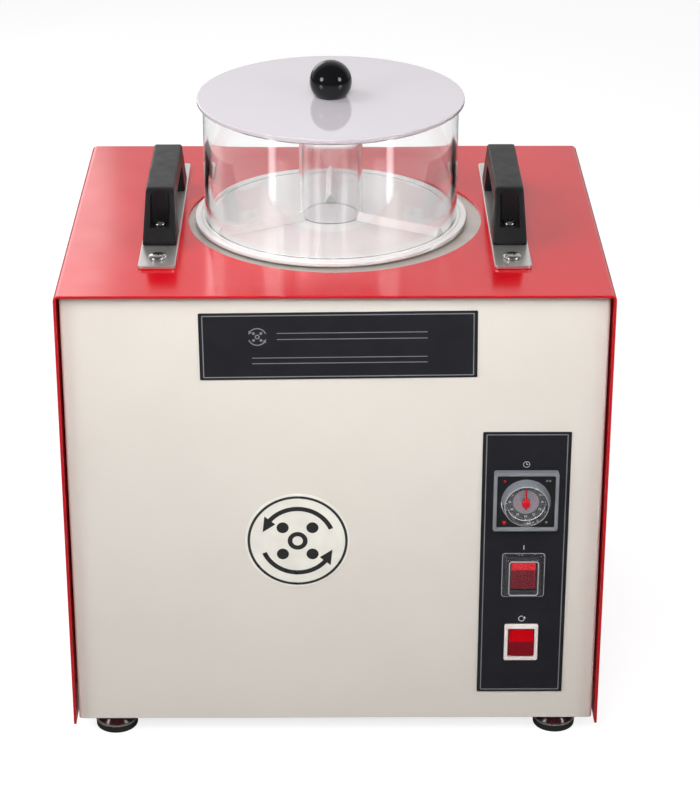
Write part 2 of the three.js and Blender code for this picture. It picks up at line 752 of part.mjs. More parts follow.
// ---- timer ------------------------------------------------------------------------------------
// Everything on the timer is drawn about the point where its axis meets the control plate's face.
function addTimer() {
  const timer = new THREE.Group();
  timer.position.set(controlX, -panelY - plateThickness, timerZ);
  group.add(timer);

  const faceY = -timerProud + timerFaceRecess;
  const half = timerCaseSize / 2;
  const windowHalf = timerSize / 2 - timerBezelWall;
  let timerCase = pulledY(roundedRectangle(timerSize, timerSize, timerCorner), -timerProud, -seat);
  timerCase = timerCase.add(block(-half, -seat - 1, -half, half, timerCaseDepth, half));
  timerCase = timerCase.subtract(block(
    -windowHalf, -timerProud - 1, -windowHalf, windowHalf, faceY, windowHalf));
  timerCase = timerCase.subtract(rodY(
    dialShaftRadius + dialShaftPlay, faceY - 1, faceY + dialShaftLength + 2, 20));
  add('timer_case', timerCase, 'blackPlastic', 0, 0, 0, timer);

  const dialBack = faceY - dialGap;
  const dialFace = faceY - dialDepth;
  let dial = coneY(dialFrontRadius, dialRadius, dialFace, dialBack, 32);
  dial = dial.subtract(rodY(dialFrontRadius - dialRingWall, dialFace - 1, dialFace + dialDishDepth, 32));
  dial = dial.add(rodY(dialShaftRadius, dialBack - 1, faceY + dialShaftLength, 20));
  add('timer_dial', dial, 'clearAcrylic', 0, 0, 0, timer);

  const floorY = dialFace + dialDishDepth;
  let pointer = rodY(pointerHubRadius, floorY - pointerHubHeight, floorY - seat, 20);
  const bar = block(
    -pointerWidth / 2, floorY - 1.4, -pointerTail, pointerWidth / 2, floorY - 0.5, pointerLength);
  pointer = pointer.add(bar);
  add('timer_pointer', pointer, 'redPlastic', 0, 0, 0, timer);
}

// ---- rocker switches --------------------------------------------------------------------------
function switchCase() {
  const bezel = pulledY(roundedRectangle(switchWidth, switchHeight, switchCorner), -switchProud, -seat);
  const halfWidth = switchBodyWidth / 2;
  const halfHeight = switchBodyHeight / 2;
  const body = block(-halfWidth, -seat - 1, -halfHeight, halfWidth, switchBodyDepth, halfHeight);
  const window = block(
    -switchWindowWidth / 2, -switchProud - 1, -switchWindowHeight / 2,
    switchWindowWidth / 2, switchWindowDepth, switchWindowHeight / 2);
  return bezel.add(body).subtract(window);
}

// A rocker whose two faces meet in a low ridge, drawn as (y, z) about its pivot.
function rockerSolid() {
  const halfHeight = switchWindowHeight / 2 - rockerPlay;
  const outline = polygon([
    [rockerRaisedY, -halfHeight], [rockerRidgeY, rockerRidgeRise], [rockerPressedY, halfHeight],
    [rockerHeelY, halfHeight / 2], [rockerToeY, 0], [rockerHeelY, -halfHeight / 2],
  ]);
  return pulledX(outline, switchWindowWidth - 2 * rockerPlay);
}

function addSwitch(name, rise, bezelFinish) {
  const unit = new THREE.Group();
  unit.position.set(controlX, -panelY - plateThickness, controlPlateZ + rise);
  group.add(unit);
  add(`${name}_case`, switchCase(), bezelFinish, 0, 0, 0, unit);
  const rocker = add(`${name}_rocker`, rockerSolid(), 'redPlastic', 0, rockerPivotDepth, 0, unit);
  rocker.rotation.x = -THREE.MathUtils.degToRad(rockerTilt);
  return unit;
}

function addBoot(parent) {
  const inner = roundedRectangle(bootWidth - 2 * bootWall, bootHeight - 2 * bootWall, bootCorner - 1);
  let boot = pulledY(roundedRectangle(bootWidth, bootHeight, bootCorner), -bootDepth, -seat);
  boot = boot.subtract(pulledY(inner, -bootDepth + bootWall, 1));
  add('on_switch_boot', boot, 'clearAcrylic', 0, 0, 0, parent);
}

// ---- drive ------------------------------------------------------------------------------------
function addDrive() {
  const drive = new THREE.Group();
  drive.position.set(0, bowlY, 0);
  group.add(drive);

  let rotor = rod(rotorRadius, rotorBottom, rotorTop, round);
  rotor = rotor.add(rod(rotorHubRadius, rotorBottom - rotorHubLength, rotorBottom + 1, fine));
  rotor = rotor.subtract(rod(shaftRadius + seat, rotorBottom - rotorHubLength - 1, rotorTop + 1, fine));
  for (let i = 0; i < magnetCount; i += 1) {
    const angle = (i + 0.5) * 2 * Math.PI / magnetCount;
    const x = magnetPitchRadius * Math.cos(angle);
    const y = magnetPitchRadius * Math.sin(angle);
    const pocketFloor = rotorTop - magnetDepth - seat;
    rotor = rotor.subtract(rod(magnetRadius + seat, pocketFloor, rotorTop + 1, fine, x, y));
    add(`magnet_${i + 1}`, rod(magnetRadius, 0, magnetDepth, fine), 'magnetPlate',
      x, y, rotorTop - magnetDepth, drive);
  }
  add('rotor_disc', rotor, 'aluminium', 0, 0, 0, drive);

  const motorTop = standTop - standSheet - seat;
  const motorFoot = motorTop - motorLength;
  const bossTop = motorTop + standSheet + motorBoss;
  const shaft = rod(shaftRadius, motorTop - shaftSeatDepth, rotorTop - 1, fine);
  add('motor_shaft', shaft, 'steel', 0, 0, 0, drive);

  let motor = rod(motorRadius, motorFoot, motorTop, round);
  motor = motor.add(rod(motorBossRadius, motorTop - 1, bossTop, fine));
  motor = motor.add(rod(motorRadius - motorTailStep, motorFoot - motorTailLength, motorFoot + 1, round));
  motor = motor.subtract(rod(shaftRadius + shaftPlay, motorTop - shaftSeatDepth - 2, bossTop + 1, 32));
  add('motor_body', motor, 'motorPaint', 0, 0, 0, drive);

  const halfWidth = standWidth / 2;
  const halfDepth = standDepth / 2;
  const low = baseTop + seat;
  let stand = block(-halfWidth, -halfDepth, standTop - standSheet, halfWidth, halfDepth, standTop);
  stand = stand.subtract(rod(motorBossRadius + seat, standTop - standSheet - 1, standTop + 1, fine));
  for (const side of [-1, 1]) {
    const inner = side * (halfWidth - standSheet);
    const outer = side * halfWidth;
    const toe = side * (halfWidth + standToe);
    stand = stand.add(block(
      Math.min(inner, outer), -halfDepth, low, Math.max(inner, outer), halfDepth, standTop));
    stand = stand.add(block(
      Math.min(inner, toe), -halfDepth, low, Math.max(inner, toe), halfDepth, low + standSheet));
  }
  add('motor_stand', stand, 'steel', 0, 0, 0, drive);
}

function addElectrics() {
  const canTop = capacitorLength + 2;
  const tip = canTop + capacitorTerminalLength;
  const capacitor = turned([
    [0, 0], [capacitorRadius - 1, 0], [capacitorRadius, 1], [capacitorRadius, capacitorLength],
    [capacitorRadius - 2, canTop], [capacitorTerminalRadius, canTop], [capacitorTerminalRadius, tip],
    [0, tip],
  ], 24);
  const x = capacitorEdgeGap - panelHalfWidth;
  const y = bowlY + standDepth / 2 + capacitorStandGap + capacitorRadius;
  add('run_capacitor', capacitor, 'aluminium', x, y, baseTop + seat);
}

// ---- rear fittings ----------------------------------------------------------------------------
function fanFrame() {
  let frame = pulledY(roundedRectangle(fanSize, fanSize, fanCorner), -fanDepth, 0);
  frame = frame.subtract(rodY(fanBore, -fanDepth - 1, 1, 40));
  const rim = fanDepth - fanHubLid;
  const spokeHalf = fanSpokeWidth / 2;
  for (const angle of [45, 135]) {
    const spoke = block(-fanBore - 2, -fanDepth, -spokeHalf, fanBore + 2, -rim, spokeHalf);
    frame = frame.add(spoke.rotate([0, angle, 0]));
  }
  frame = frame.add(rodY(fanHubRadius, -fanDepth, -rim, 24));
  for (const x of [-fanScrewOffset, fanScrewOffset]) {
    for (const z of [-fanScrewOffset, fanScrewOffset]) {
      frame = frame.subtract(rodY(fanScrewRadius, -fanDepth - 1, 1, 8, x, z));
    }
  }
  return frame;
}

function fanImpeller() {
  const back = -fanDepth + fanHubLid + 3 * seat;
  const front = -2;
  const halfChord = fanBladeChord / 2;
  const halfBlade = fanBladeThickness / 2;
  let impeller = rodY(fanHubRadius, back, front, 24);
  for (let i = 0; i < fanBlades; i += 1) {
    const blade = block(-halfBlade, -halfChord, fanHubRadius - 2, halfBlade, halfChord, fanBladeRadius);
    const tilted = blade.rotate([0, 0, fanBladeTwist]).translate([0, (back + front) / 2, 0]);
    impeller = impeller.add(tilted.rotate([0, i * 360 / fanBlades, 0]));
  }
  return impeller;
}

function addFan() {
  const fan = new THREE.Group();
  fan.position.set(fanX, panelY - panelSheet - seat, fanZ);
  group.add(fan);
  add('fan_frame', fanFrame(), 'blackPlastic', 0, 0, 0, fan);
  add('fan_impeller', fanImpeller(), 'blackPlastic', 0, 0, 0, fan);

  // The wire guard stands off the rear panel as far as the timer's dial stands off the front one.
  const reach = dialFront - panelY;
  const guardY = panelSheet + seat + reach;
  let guard = null;
  for (let i = 0; i < guardRings; i += 1) {
    const radius = guardFirstRadius + i * guardPitch;
    const ring = rodY(radius + guardWire, guardY - 2 * guardWire, guardY, 20)
      .subtract(rodY(radius - guardWire, guardY - 3 * guardWire, guardY + 1, 20));
    guard = guard ? guard.add(ring) : ring;
  }
  const tip = fanScrewOffset * Math.SQRT2 + guardWire;
  for (const angle of [45, 135]) {
    const spoke = block(-tip, guardY - 3 * guardWire, -guardWire, tip, guardY - guardWire, guardWire);
    guard = guard.add(spoke.rotate([0, angle, 0]));
  }
  for (const angle of [45, 135, 225, 315]) {
    const leg = block(
      tip - 2 * guardWire, panelSheet + 2 * seat, -guardWire, tip, guardY - guardWire, guardWire);
    guard = guard.add(leg.rotate([0, angle, 0]));
  }
  add('fan_guard', guard, 'steel', 0, 0, 0, fan);
}

function addInlet() {
  const halfWidth = inletWidth / 2;
  const halfHeight = inletHeight / 2;
  const bodyHalfWidth = inletBodyWidth / 2;
  const bodyHalfHeight = inletBodyHeight / 2;
  const socketHalfWidth = bodyHalfWidth - inletWall;
  const socketHalfHeight = bodyHalfHeight - inletWall - 2 * seat;
  const pinHalfWidth = inletPinWidth / 2;
  const pinHalfHeight = inletPinHeight / 2;
  let inlet = block(-halfWidth, 0, -halfHeight, halfWidth, inletFlange, halfHeight);
  inlet = inlet.add(block(
    -bodyHalfWidth, -inletBodyDepth, -bodyHalfHeight, bodyHalfWidth, 1, bodyHalfHeight));
  inlet = inlet.subtract(block(
    -socketHalfWidth, -inletSocketDepth, -socketHalfHeight,
    socketHalfWidth, inletFlange + 1, socketHalfHeight));
  for (const x of [-inletPinPitch, 0, inletPinPitch]) {
    inlet = inlet.add(block(
      x - pinHalfWidth, -inletSocketDepth - 1, -pinHalfHeight, x + pinHalfWidth, -1, pinHalfHeight));
  }
  add('power_inlet', inlet, 'blackPlastic', inletX, panelY + seat, inletZ);

  let fuse = rodY(fuseRadius, 0, fuseCapHeight, fine);
  fuse = fuse.add(rodY(fuseRadius - fuseStep, -fuseBodyDepth, 1, fine));
  fuse = fuse.subtract(block(
    -fuseRadius - 1, fuseCapHeight - fuseSlotDepth, -fuseSlotWidth / 2,
    fuseRadius + 1, fuseCapHeight + 1, fuseSlotWidth / 2));
  add('fuse_holder', fuse, 'blackPlastic', fuseX, panelY + seat, inletZ);
}

addCover();
addFrontPanel();
addRearPanel();
addBase();
addFeet();
addCoverScrews();
addDeck();
addHandle(-1, 'left');
addHandle(1, 'right');
addBowl();
addLid();
addPlates();
addTimer();
addBoot(addSwitch('on_switch', onSwitchRise, 'blackPlastic'));
addSwitch('restart_switch', restartRise, 'whitePlastic');
addDrive();
addElectrics();
addFan();
addInlet();

export default group;
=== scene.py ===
"""Looks of a magnetic polishing machine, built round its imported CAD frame. +Z up, -Y front.

Camera and lamps are in metres. Pieces are drawn in millimetres and scaled once, in object_from."""
from math import asin, atan2, cos, hypot, pi, radians, sin

import bmesh
import bpy
from mathutils import Matrix, Vector


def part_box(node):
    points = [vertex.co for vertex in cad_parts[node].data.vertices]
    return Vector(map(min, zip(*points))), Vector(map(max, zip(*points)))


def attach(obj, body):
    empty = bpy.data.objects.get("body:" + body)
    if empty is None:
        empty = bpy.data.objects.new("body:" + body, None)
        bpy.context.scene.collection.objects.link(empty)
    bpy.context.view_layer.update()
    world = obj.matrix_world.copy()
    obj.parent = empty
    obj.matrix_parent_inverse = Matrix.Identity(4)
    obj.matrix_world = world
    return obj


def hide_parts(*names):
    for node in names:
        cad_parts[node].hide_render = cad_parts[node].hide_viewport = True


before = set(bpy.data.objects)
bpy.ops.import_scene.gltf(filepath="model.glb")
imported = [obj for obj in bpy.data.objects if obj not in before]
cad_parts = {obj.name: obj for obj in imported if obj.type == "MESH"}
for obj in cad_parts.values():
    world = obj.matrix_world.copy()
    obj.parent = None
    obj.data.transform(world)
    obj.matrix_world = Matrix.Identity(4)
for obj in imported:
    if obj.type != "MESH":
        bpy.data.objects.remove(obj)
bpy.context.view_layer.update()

MM = 0.001           # one millimetre in the frame's metres
ROOM_BACK = 0.85     # how bright the room is behind the machine, beside the white backdrop
ROOM_FRONT = 0.12
FLOOR_GLOW = 0.8     # what the eye sees added to the floor's own white
GLINT_SLENDERNESS = 3.4
BOWL_ROUND = 160     # sides on the bowl, its lid and the well
ROUND = 128          # sides on a large round piece
SMALL_ROUND = 48     # sides on a small one
FLUTES = 80          # fine grooves round the timer knob
FILM = 0.08          # how far printing stands off its plate


def corners(node):
    """Lowest and highest corner of a CAD node at rest, in millimetres."""
    low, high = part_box(node)
    return Vector(low) / MM, Vector(high) / MM


def span(node):
    low, high = corners(node)
    return low, high, (low + high) / 2


def middle(node):
    return span(node)[2]


def half_width(node):
    low, high = corners(node)
    return (high.x - low.x) / 2


# ---- camera, lights and floor ----

def make_camera():
    """The eye stands 1.6 m in front of the cover and 0.7 m above its top, and looks down at it."""
    data = bpy.data.cameras.new("camera")
    data.lens = 110.1
    data.sensor_width = 36.0
    data.shift_y = -0.1
    data.clip_end = 20.0
    camera = bpy.data.objects.new("camera", data)
    bpy.context.collection.objects.link(camera)
    camera.location = (-0.0017, -1.7548, 1.0441)
    down, turn, roll = (radians(a) for a in (23.441, 0.441, 0.094))
    forward = Vector((sin(turn) * cos(down), cos(turn) * cos(down), -sin(down)))
    level = Vector((cos(turn), -sin(turn), 0))
    up = level.cross(forward)
    right = cos(roll) * level + sin(roll) * up
    camera.matrix_world = Matrix.Translation(camera.location) @ Matrix(
        (right, right.cross(forward), -forward)).transposed().to_4x4()
    bpy.context.scene.camera = camera


def area_light(name, place, target, size, power, role="fill", spread=180):
    """A soft lamp. A fill makes no reflections, a lamp does, and a glint makes only those."""
    data = bpy.data.lights.new(name, "AREA")
    data.shape = {"fill": "SQUARE", "lamp": "DISK", "glint": "RECTANGLE"}[role]
    data.size = size
    data.size_y = size * GLINT_SLENDERNESS
    data.energy = power
    data.spread = radians(spread)
    light = bpy.data.objects.new(name, data)
    bpy.context.collection.objects.link(light)
    light.visible_camera = False
    light.visible_glossy = role != "fill"
    light.visible_diffuse = role != "glint"
    light.location = place
    aim = (Vector(target) - Vector(place)).normalized()
    light.rotation_mode = "QUATERNION"
    light.rotation_quaternion = aim.to_track_quat("-Z", "Y")


def make_world():
    """White to the eye, straight or through glass. To the rest it is a room, pale behind, dim in front."""
    world = bpy.data.worlds.new("studio")
    world.use_nodes = True
    tree = world.node_tree
    background = tree.nodes["Background"].inputs
    split = add(tree, "SeparateXYZ")
    tree.links.new(add(tree, "TexCoord").outputs["Generated"], split.inputs["Vector"])
    room = add(tree, "MapRange", From_Min=0.2, From_Max=0.85, To_Min=ROOM_FRONT, To_Max=ROOM_BACK)
    tree.links.new(split.outputs["Y"], room.inputs["Value"])
    strength = add(tree, "Mix")
    tree.links.new(seen_by_eye(tree), strength.inputs["Factor"])
    tree.links.new(room.outputs["Result"], strength.inputs[2])
    strength.inputs[3].default_value = 1.0
    tree.links.new(strength.outputs["Result"], background["Strength"])
    background["Color"].default_value = (1.0, 1.0, 1.0, 1.0)
    bpy.context.scene.world = world


def make_studio():
    scene = bpy.context.scene
    scene.view_settings.view_transform = "Standard"
    scene.view_settings.look = "None"
    make_world()
    area_light("fill_top", (-0.1, -1.4, 1.8), (0, 0, 0.35), 0.9, 22)
    area_light("fill_panel", (0.0, -1.7, 1.35), (0, -0.15, 0.5), 0.35, 0.62, "fill", 32)
    area_light("fill_over", (-1.2, 0.1, 1.5), (0, 0, 0.4), 0.9, 12)
    area_light("lamp_left", (-1.6, -1.2, 1.15), (0, 0, 0.35), 0.7, 11, "lamp")
    area_light("lamp_right", (1.6, -1.2, 1.15), (0, 0, 0.35), 0.7, 9, "lamp")
    area_light("lamp_back", (-0.74, 1.5, 0.95), (0, 0, 0.4), 0.9, 3.2, "lamp")
    area_light("glint_left", (-0.40, -0.34, 0.215), (0, 0, 0.3), 0.055, 0.16, "glint")
    area_light("glint_right", (0.40, -0.34, 0.215), (0, 0, 0.3), 0.055, 0.16, "glint")

    make_floor()


def make_floor():
    """A pale sweep that the eye sees as nearly even white, with only a faint shadow left on it."""
    bm = bmesh.new()
    bmesh.ops.create_grid(bm, x_segments=2, y_segments=2, size=8000)
    floor = object_from("floor", bm)
    material, bsdf = principled("floor_white", (0.33, 0.33, 0.33), 0.8, Specular_IOR_Level=0.0)
    mottle(bsdf, (0.33, 0.33, 0.33), (0.32, 0.32, 0.32), 3)
    tree = material.node_tree
    glow = add(tree, "Math")
    glow.operation = "MULTIPLY"
    glow.inputs[1].default_value = FLOOR_GLOW
    tree.links.new(seen_by_eye(tree), glow.inputs[0])
    tree.links.new(glow.outputs["Value"], bsdf.inputs["Emission Strength"])
    bsdf.inputs["Emission Color"].default_value = (1.0, 1.0, 1.0, 1.0)
    floor.data.materials.append(material)


# ---- materials ----

def fill_in(node, values):
    """Sets a node's inputs; an underscore in a name stands for a space."""
    for socket, value in values.items():
        node.inputs[socket.replace("_", " ")].default_value = value


def add(tree, kind, **values):
    node = tree.nodes.new("ShaderNode" + kind)
    fill_in(node, values)
    return node


def seen_by_eye(tree):
    """One for what the eye meets straight or through glass, nought for the rest."""
    path, seen = add(tree, "LightPath"), add(tree, "Math")
    seen.operation = "MAXIMUM"
    tree.links.new(path.outputs["Is Camera Ray"], seen.inputs[0])
    tree.links.new(path.outputs["Is Transmission Ray"], seen.inputs[1])
    return seen.outputs["Value"]


def principled(name, colour, roughness, metallic=0.0, **sockets):
    material = bpy.data.materials.new(name)
    material.use_nodes = True
    bsdf = material.node_tree.nodes["Principled BSDF"]
    fill_in(bsdf, {"Base_Color": (*colour, 1.0), "Roughness": roughness, "Metallic": metallic, **sockets})
    return material, bsdf


def noise(tree, scale, detail, stretch):
    """Noise on the object's own coordinates; scale is in features per metre."""
    mapping = add(tree, "Mapping", Scale=stretch)
    texture = add(tree, "TexNoise", Scale=scale, Detail=detail)
    tree.links.new(add(tree, "TexCoord").outputs["Object"], mapping.inputs["Vector"])
    tree.links.new(mapping.outputs["Vector"], texture.inputs["Vector"])
    return texture.outputs["Fac"]


def mottle(bsdf, first, second, scale, detail=3.0, stretch=(1, 1, 1)):
    """Base colour that drifts between two shades."""
    tree = bsdf.id_data
    ramp = add(tree, "ValToRGB")
    for stop, position, colour in zip(ramp.color_ramp.elements, (0.35, 0.65), (first, second)):
        stop.position = position
        stop.color = (*colour, 1)
    tree.links.new(noise(tree, scale, detail, stretch), ramp.inputs["Fac"])
    tree.links.new(ramp.outputs["Color"], bsdf.inputs["Base Color"])


def uneven_gloss(bsdf, low, high, scale, stretch=(1, 1, 1)):
    tree = bsdf.id_data
    span = add(tree, "MapRange", From_Min=0.3, From_Max=0.7, To_Min=low, To_Max=high)
    tree.links.new(noise(tree, scale, 4.0, stretch), span.inputs["Value"])
    tree.links.new(span.outputs["Result"], bsdf.inputs["Roughness"])


def bumps(bsdf, scale, height, stretch=(1, 1, 1), detail=2.0):
    """Surface relief; height is in millimetres."""
    tree = bsdf.id_data
    bump = add(tree, "Bump", Distance=height * MM, Strength=1.0)
    tree.links.new(noise(tree, scale, detail, stretch), bump.inputs["Height"])
    tree.links.new(bump.outputs["Normal"], bsdf.inputs["Normal"])


def make_red_paint():
    material, bsdf = principled("red_enamel", (0.60, 0.0, 0.008), 0.16)
    mottle(bsdf, (0.56, 0.001, 0.008), (0.52, 0.001, 0.007), 9)
    uneven_gloss(bsdf, 0.12, 0.18, 30)
    bumps(bsdf, 420, 0.006)
    return material


def make_cream_paint():
    material, bsdf = principled("cream_powder_coat", (0.76, 0.71, 0.645), 0.42)
    mottle(bsdf, (0.77, 0.72, 0.655), (0.75, 0.70, 0.635), 14)
    uneven_gloss(bsdf, 0.38, 0.48, 60)
    bumps(bsdf, 900, 0.012)
    return material


def make_brushed(name, colour, stretch, low=0.22, high=0.38, metallic=1.0):
    material, bsdf = principled(name, colour, 0.3, metallic, Anisotropic=0.5)
    dark = tuple(c * 0.86 for c in colour)
    mottle(bsdf, colour, dark, 60, 5.0, stretch)
    uneven_gloss(bsdf, low, high, 90, stretch)
    bumps(bsdf, 160, 0.004, stretch, 4.0)
    return material


def make_plated():
    material, bsdf = principled("plated_steel", (0.62, 0.61, 0.59), 0.24, 1.0)
    uneven_gloss(bsdf, 0.20, 0.30, 500)
    mottle(bsdf, (0.64, 0.63, 0.61), (0.52, 0.51, 0.49), 260)
    return material


def make_plastic(name, colour, roughness, grain=0.0, grain_scale=2600, **sockets):
    material, bsdf = principled(name, colour, roughness, **sockets)
    lighter = tuple(min(1.0, c * 1.12 + 0.001) for c in colour)
    mottle(bsdf, colour, lighter, 45)
    uneven_gloss(bsdf, roughness * 0.88, min(1.0, roughness * 1.15), 120)
    if grain:
        bumps(bsdf, grain_scale, grain)
    return material


def pass_lamps(bsdf, share):
    """Lets a share of the lamps' light straight through, which a path tracer's glass would stop."""
    tree = bsdf.id_data
    mix = add(tree, "MixShader")
    clear = add(tree, "BsdfTransparent", Color=(share, share, share, 1.0))
    tree.links.new(add(tree, "LightPath").outputs["Is Shadow Ray"], mix.inputs["Fac"])
    tree.links.new(bsdf.outputs["BSDF"], mix.inputs[1])
    tree.links.new(clear.outputs["BSDF"], mix.inputs[2])
    tree.links.new(mix.outputs["Shader"], tree.nodes["Material Output"].inputs["Surface"])


def make_clear(name, tint, roughness=0.015, ior=1.49, passes=0.9):
    material, bsdf = principled(name, tint, roughness, Transmission_Weight=1.0, IOR=ior)
    uneven_gloss(bsdf, roughness, roughness * 2.2, 18)
    pass_lamps(bsdf, passes)
    return material


def make_lens(name, bright, darker_red):
    material, bsdf = principled(name, bright, 0.25, Specular_IOR_Level=0.2)
    mottle(bsdf, bright, darker_red, 320)
    bumps(bsdf, 900, 0.02, (0.15, 1, 1))
    return material


def make_frosted(name, tint, roughness):
    """Clear plastic with a fine matt skin: part of the light goes through, the rest scatters."""
    material, bsdf = principled(name, tint, roughness, Transmission_Weight=0.15, IOR=1.4)
    mottle(bsdf, tint, tuple(c * 0.9 for c in tint), 700)
    bumps(bsdf, 2400, 0.03)
    pass_lamps(bsdf, 0.6)
    return material


M = {}


def make_materials():
    M["red"] = make_red_paint()
    M["cream"] = make_cream_paint()
    M["deck_steel"] = make_brushed("deck_steel", (0.58, 0.53, 0.49), (0.04, 1, 1), 0.34, 0.5, 0.2)
    M["strip_steel"] = make_brushed("strip_steel", (0.74, 0.72, 0.70), (1, 0.05, 1), 0.26, 0.4, 0.85)
    M["plated"] = make_plated()
    M["grip"] = make_plastic("grip_nylon", (0.009, 0.009, 0.010), 0.4, 0.02, Specular_IOR_Level=0.22)
    M["black"] = make_plastic("black_moulding", (0.010, 0.010, 0.012), 0.32, 0.008, Specular_IOR_Level=0.3)
    M["ball"] = make_plastic("ball_phenolic", (0.003, 0.003, 0.004), 0.08, Specular_IOR_Level=0.4)
    M["acrylic"] = make_clear("clear_acrylic", (0.985, 0.99, 0.99), passes=0.82)
    M["hub_acrylic"] = make_clear("hub_acrylic", (0.98, 0.98, 0.985), 0.05, passes=0.82)
    M["opal"] = make_opal()
    M["acetal"] = make_acetal("white_acetal", (0.66, 0.63, 0.625))
    # The same acetal made darker for the floor inside the bowl and its ridges: painted shade under the lid.
    M["bowl_floor_painted_shade"] = make_acetal("bowl_floor_painted_shade", (0.47, 0.445, 0.445))
    M["print"] = make_plastic("print_black", (0.013, 0.013, 0.017), 0.36, 0.006, 1800,
                              Specular_IOR_Level=0.22)
    M["silver_ink"] = make_plastic("print_silver", (0.20, 0.20, 0.21), 0.4)
    M["white_ink"] = make_plastic("print_white", (0.62, 0.62, 0.62), 0.5)
    M["badge_white"] = make_plastic("badge_white", (0.80, 0.77, 0.70), 0.35)
    M["badge_black"] = make_plastic("badge_black", (0.012, 0.012, 0.012), 0.3)
    M["frame_grey"] = make_plastic("bezel_grey", (0.21, 0.22, 0.24), 0.2)
    M["bezel_white"] = make_plastic("bezel_white", (0.84, 0.76, 0.74), 0.25, 0.004)
    M["lens"] = make_lens("red_lens", (0.56, 0.0, 0.005), (0.44, 0.0, 0.004))
    # The ON lens is the lens red made darker: painted shade of the clear boot over the ON rocker.
    M["lens_on"] = make_lens("red_lens_on", (0.36, 0.0, 0.003), (0.29, 0.0, 0.003))
    # Darker copies of the two lens reds: painted shade for each rocker's lower face, which turns down from
    # the light.
    M["lens_painted_shade"] = make_lens("red_lens_painted_shade", (0.24, 0.005, 0.013), (0.20, 0.004, 0.010))
    M["lens_on_painted_shade"] = make_lens("red_lens_on_painted_shade", (0.10, 0.003, 0.008), (0.08, 0.002, 0.006))
    M["boot"] = make_clear("boot_clear", (0.94, 0.95, 0.96), 0.02, 1.15, 0.85)
    # A frosted grey band round the boot's window: painted highlight on its clear edge.
    M["boot_edge_painted_highlight"] = make_frosted("boot_edge_painted_highlight", (0.46, 0.47, 0.49), 0.25)
    M["frosted"] = make_frosted("dial_frosted", (0.25, 0.27, 0.295), 0.4)
    M["rim"] = make_frosted("dial_rim", (0.50, 0.52, 0.55), 0.2)
    M["red_mark"] = make_plastic("red_mark", (0.55, 0.0, 0.01), 0.25)
    M["lavender"] = make_plastic("dial_grey", (0.17, 0.14, 0.17), 0.4)
    M["rubber"] = make_plastic("foot_rubber", (0.012, 0.012, 0.012), 0.7, 0.03, 1500)
    M["foot_cone"] = make_plastic("foot_cone", (0.045, 0.004, 0.006), 0.16)
    M["machine_grey"] = make_plastic("machine_grey", (0.09, 0.10, 0.11), 0.5, 0.02, 1200)
    M["aluminium"] = make_brushed("machined_aluminium", (0.72, 0.73, 0.74), (1, 1, 0.1))
    M["nickel"] = make_plated_nickel()


def make_opal():
    material, bsdf = principled(
        "opal_acrylic", (0.55, 0.51, 0.55), 0.04, IOR=1.5, Coat_Weight=0.5, Coat_Roughness=0.02, Coat_IOR=1.5)
    mottle(bsdf, (0.56, 0.52, 0.56), (0.545, 0.51, 0.55), 8)
    uneven_gloss(bsdf, 0.03, 0.06, 20)
    pass_lamps(bsdf, 0.8)
    return material


def make_acetal(name, tone):
    material, bsdf = principled(name, tone, 0.14, Subsurface_Weight=0.2, Subsurface_Scale=0.003)
    mottle(bsdf, tone, tuple(c * 0.96 for c in tone), 22)
    uneven_gloss(bsdf, 0.10, 0.18, 80)
    bumps(bsdf, 300, 0.004)
    return material


def make_plated_nickel():
    material, bsdf = principled("nickel_plate", (0.66, 0.63, 0.58), 0.14, 1.0)
    uneven_gloss(bsdf, 0.1, 0.2, 300)
    return material


# ---- mesh helpers ----

made_pieces = []


def object_from(name, bm):
    """Turns a drawing in millimetres into an object in metres."""
    bmesh.ops.scale(bm, vec=(MM, MM, MM), verts=bm.verts)
    mesh = bpy.data.meshes.new(name)
    bm.to_mesh(mesh)
    bm.free()
    made = bpy.data.objects.new(name, mesh)
    bpy.context.collection.objects.link(made)
    return made


def crease(made, angle=32):
    """Shades smooth, except over edges that turn by more than the angle."""
    made.data.shade_smooth()
    made.data.set_sharp_from_angle(angle=radians(angle))


def piece(name, bm, materials, body, replaces=(), sharp=32):
    """Makes an object that rides on a body and stands for CAD nodes."""
    bmesh.ops.remove_doubles(bm, verts=bm.verts, dist=1e-4)
    bmesh.ops.recalc_face_normals(bm, faces=bm.faces)
    made = object_from(name, bm)
    crease(made, sharp)
    for material in materials:
        made.data.materials.append(M[material])
    made_pieces.append(made)
    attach(made, body)
    if replaces:
        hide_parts(*replaces)
    return made


def soften(made, width, segments=3, angle=32):
    """Rounds a piece's edges."""
    bevel = made.modifiers.new("rounding", "BEVEL")
    bevel.width = width * MM
    bevel.segments = segments
    bevel.limit_method = "ANGLE"
    bevel.angle_limit = radians(angle)
    bevel.use_clamp_overlap = True


def even_normals():
    """Shades each broad face flat, so that only the rounded edges turn the light."""
    for made in made_pieces:
        weighted = made.modifiers.new("normals", "WEIGHTED_NORMAL")
        weighted.keep_sharp = True
        weighted.weight = 60


def freeze(made):
    """Bakes a piece's modifiers into its mesh."""
    graph = bpy.context.evaluated_depsgraph_get()
    graph.update()
    mesh = bpy.data.meshes.new_from_object(made.evaluated_get(graph))
    made.modifiers.clear()
    old = made.data
    made.data = mesh
    bpy.data.meshes.remove(old)


def carve(made, drawing):
    """Cuts a drawing out of an object."""
    bmesh.ops.recalc_face_normals(drawing, faces=drawing.faces)
    tool = object_from("tool", drawing)
    cut = made.modifiers.new("cut", "BOOLEAN")
    cut.operation = "DIFFERENCE"
    cut.solver = "EXACT"
    cut.object = tool
    freeze(made)
    mesh = tool.data
    bpy.data.objects.remove(tool)
    bpy.data.meshes.remove(mesh)


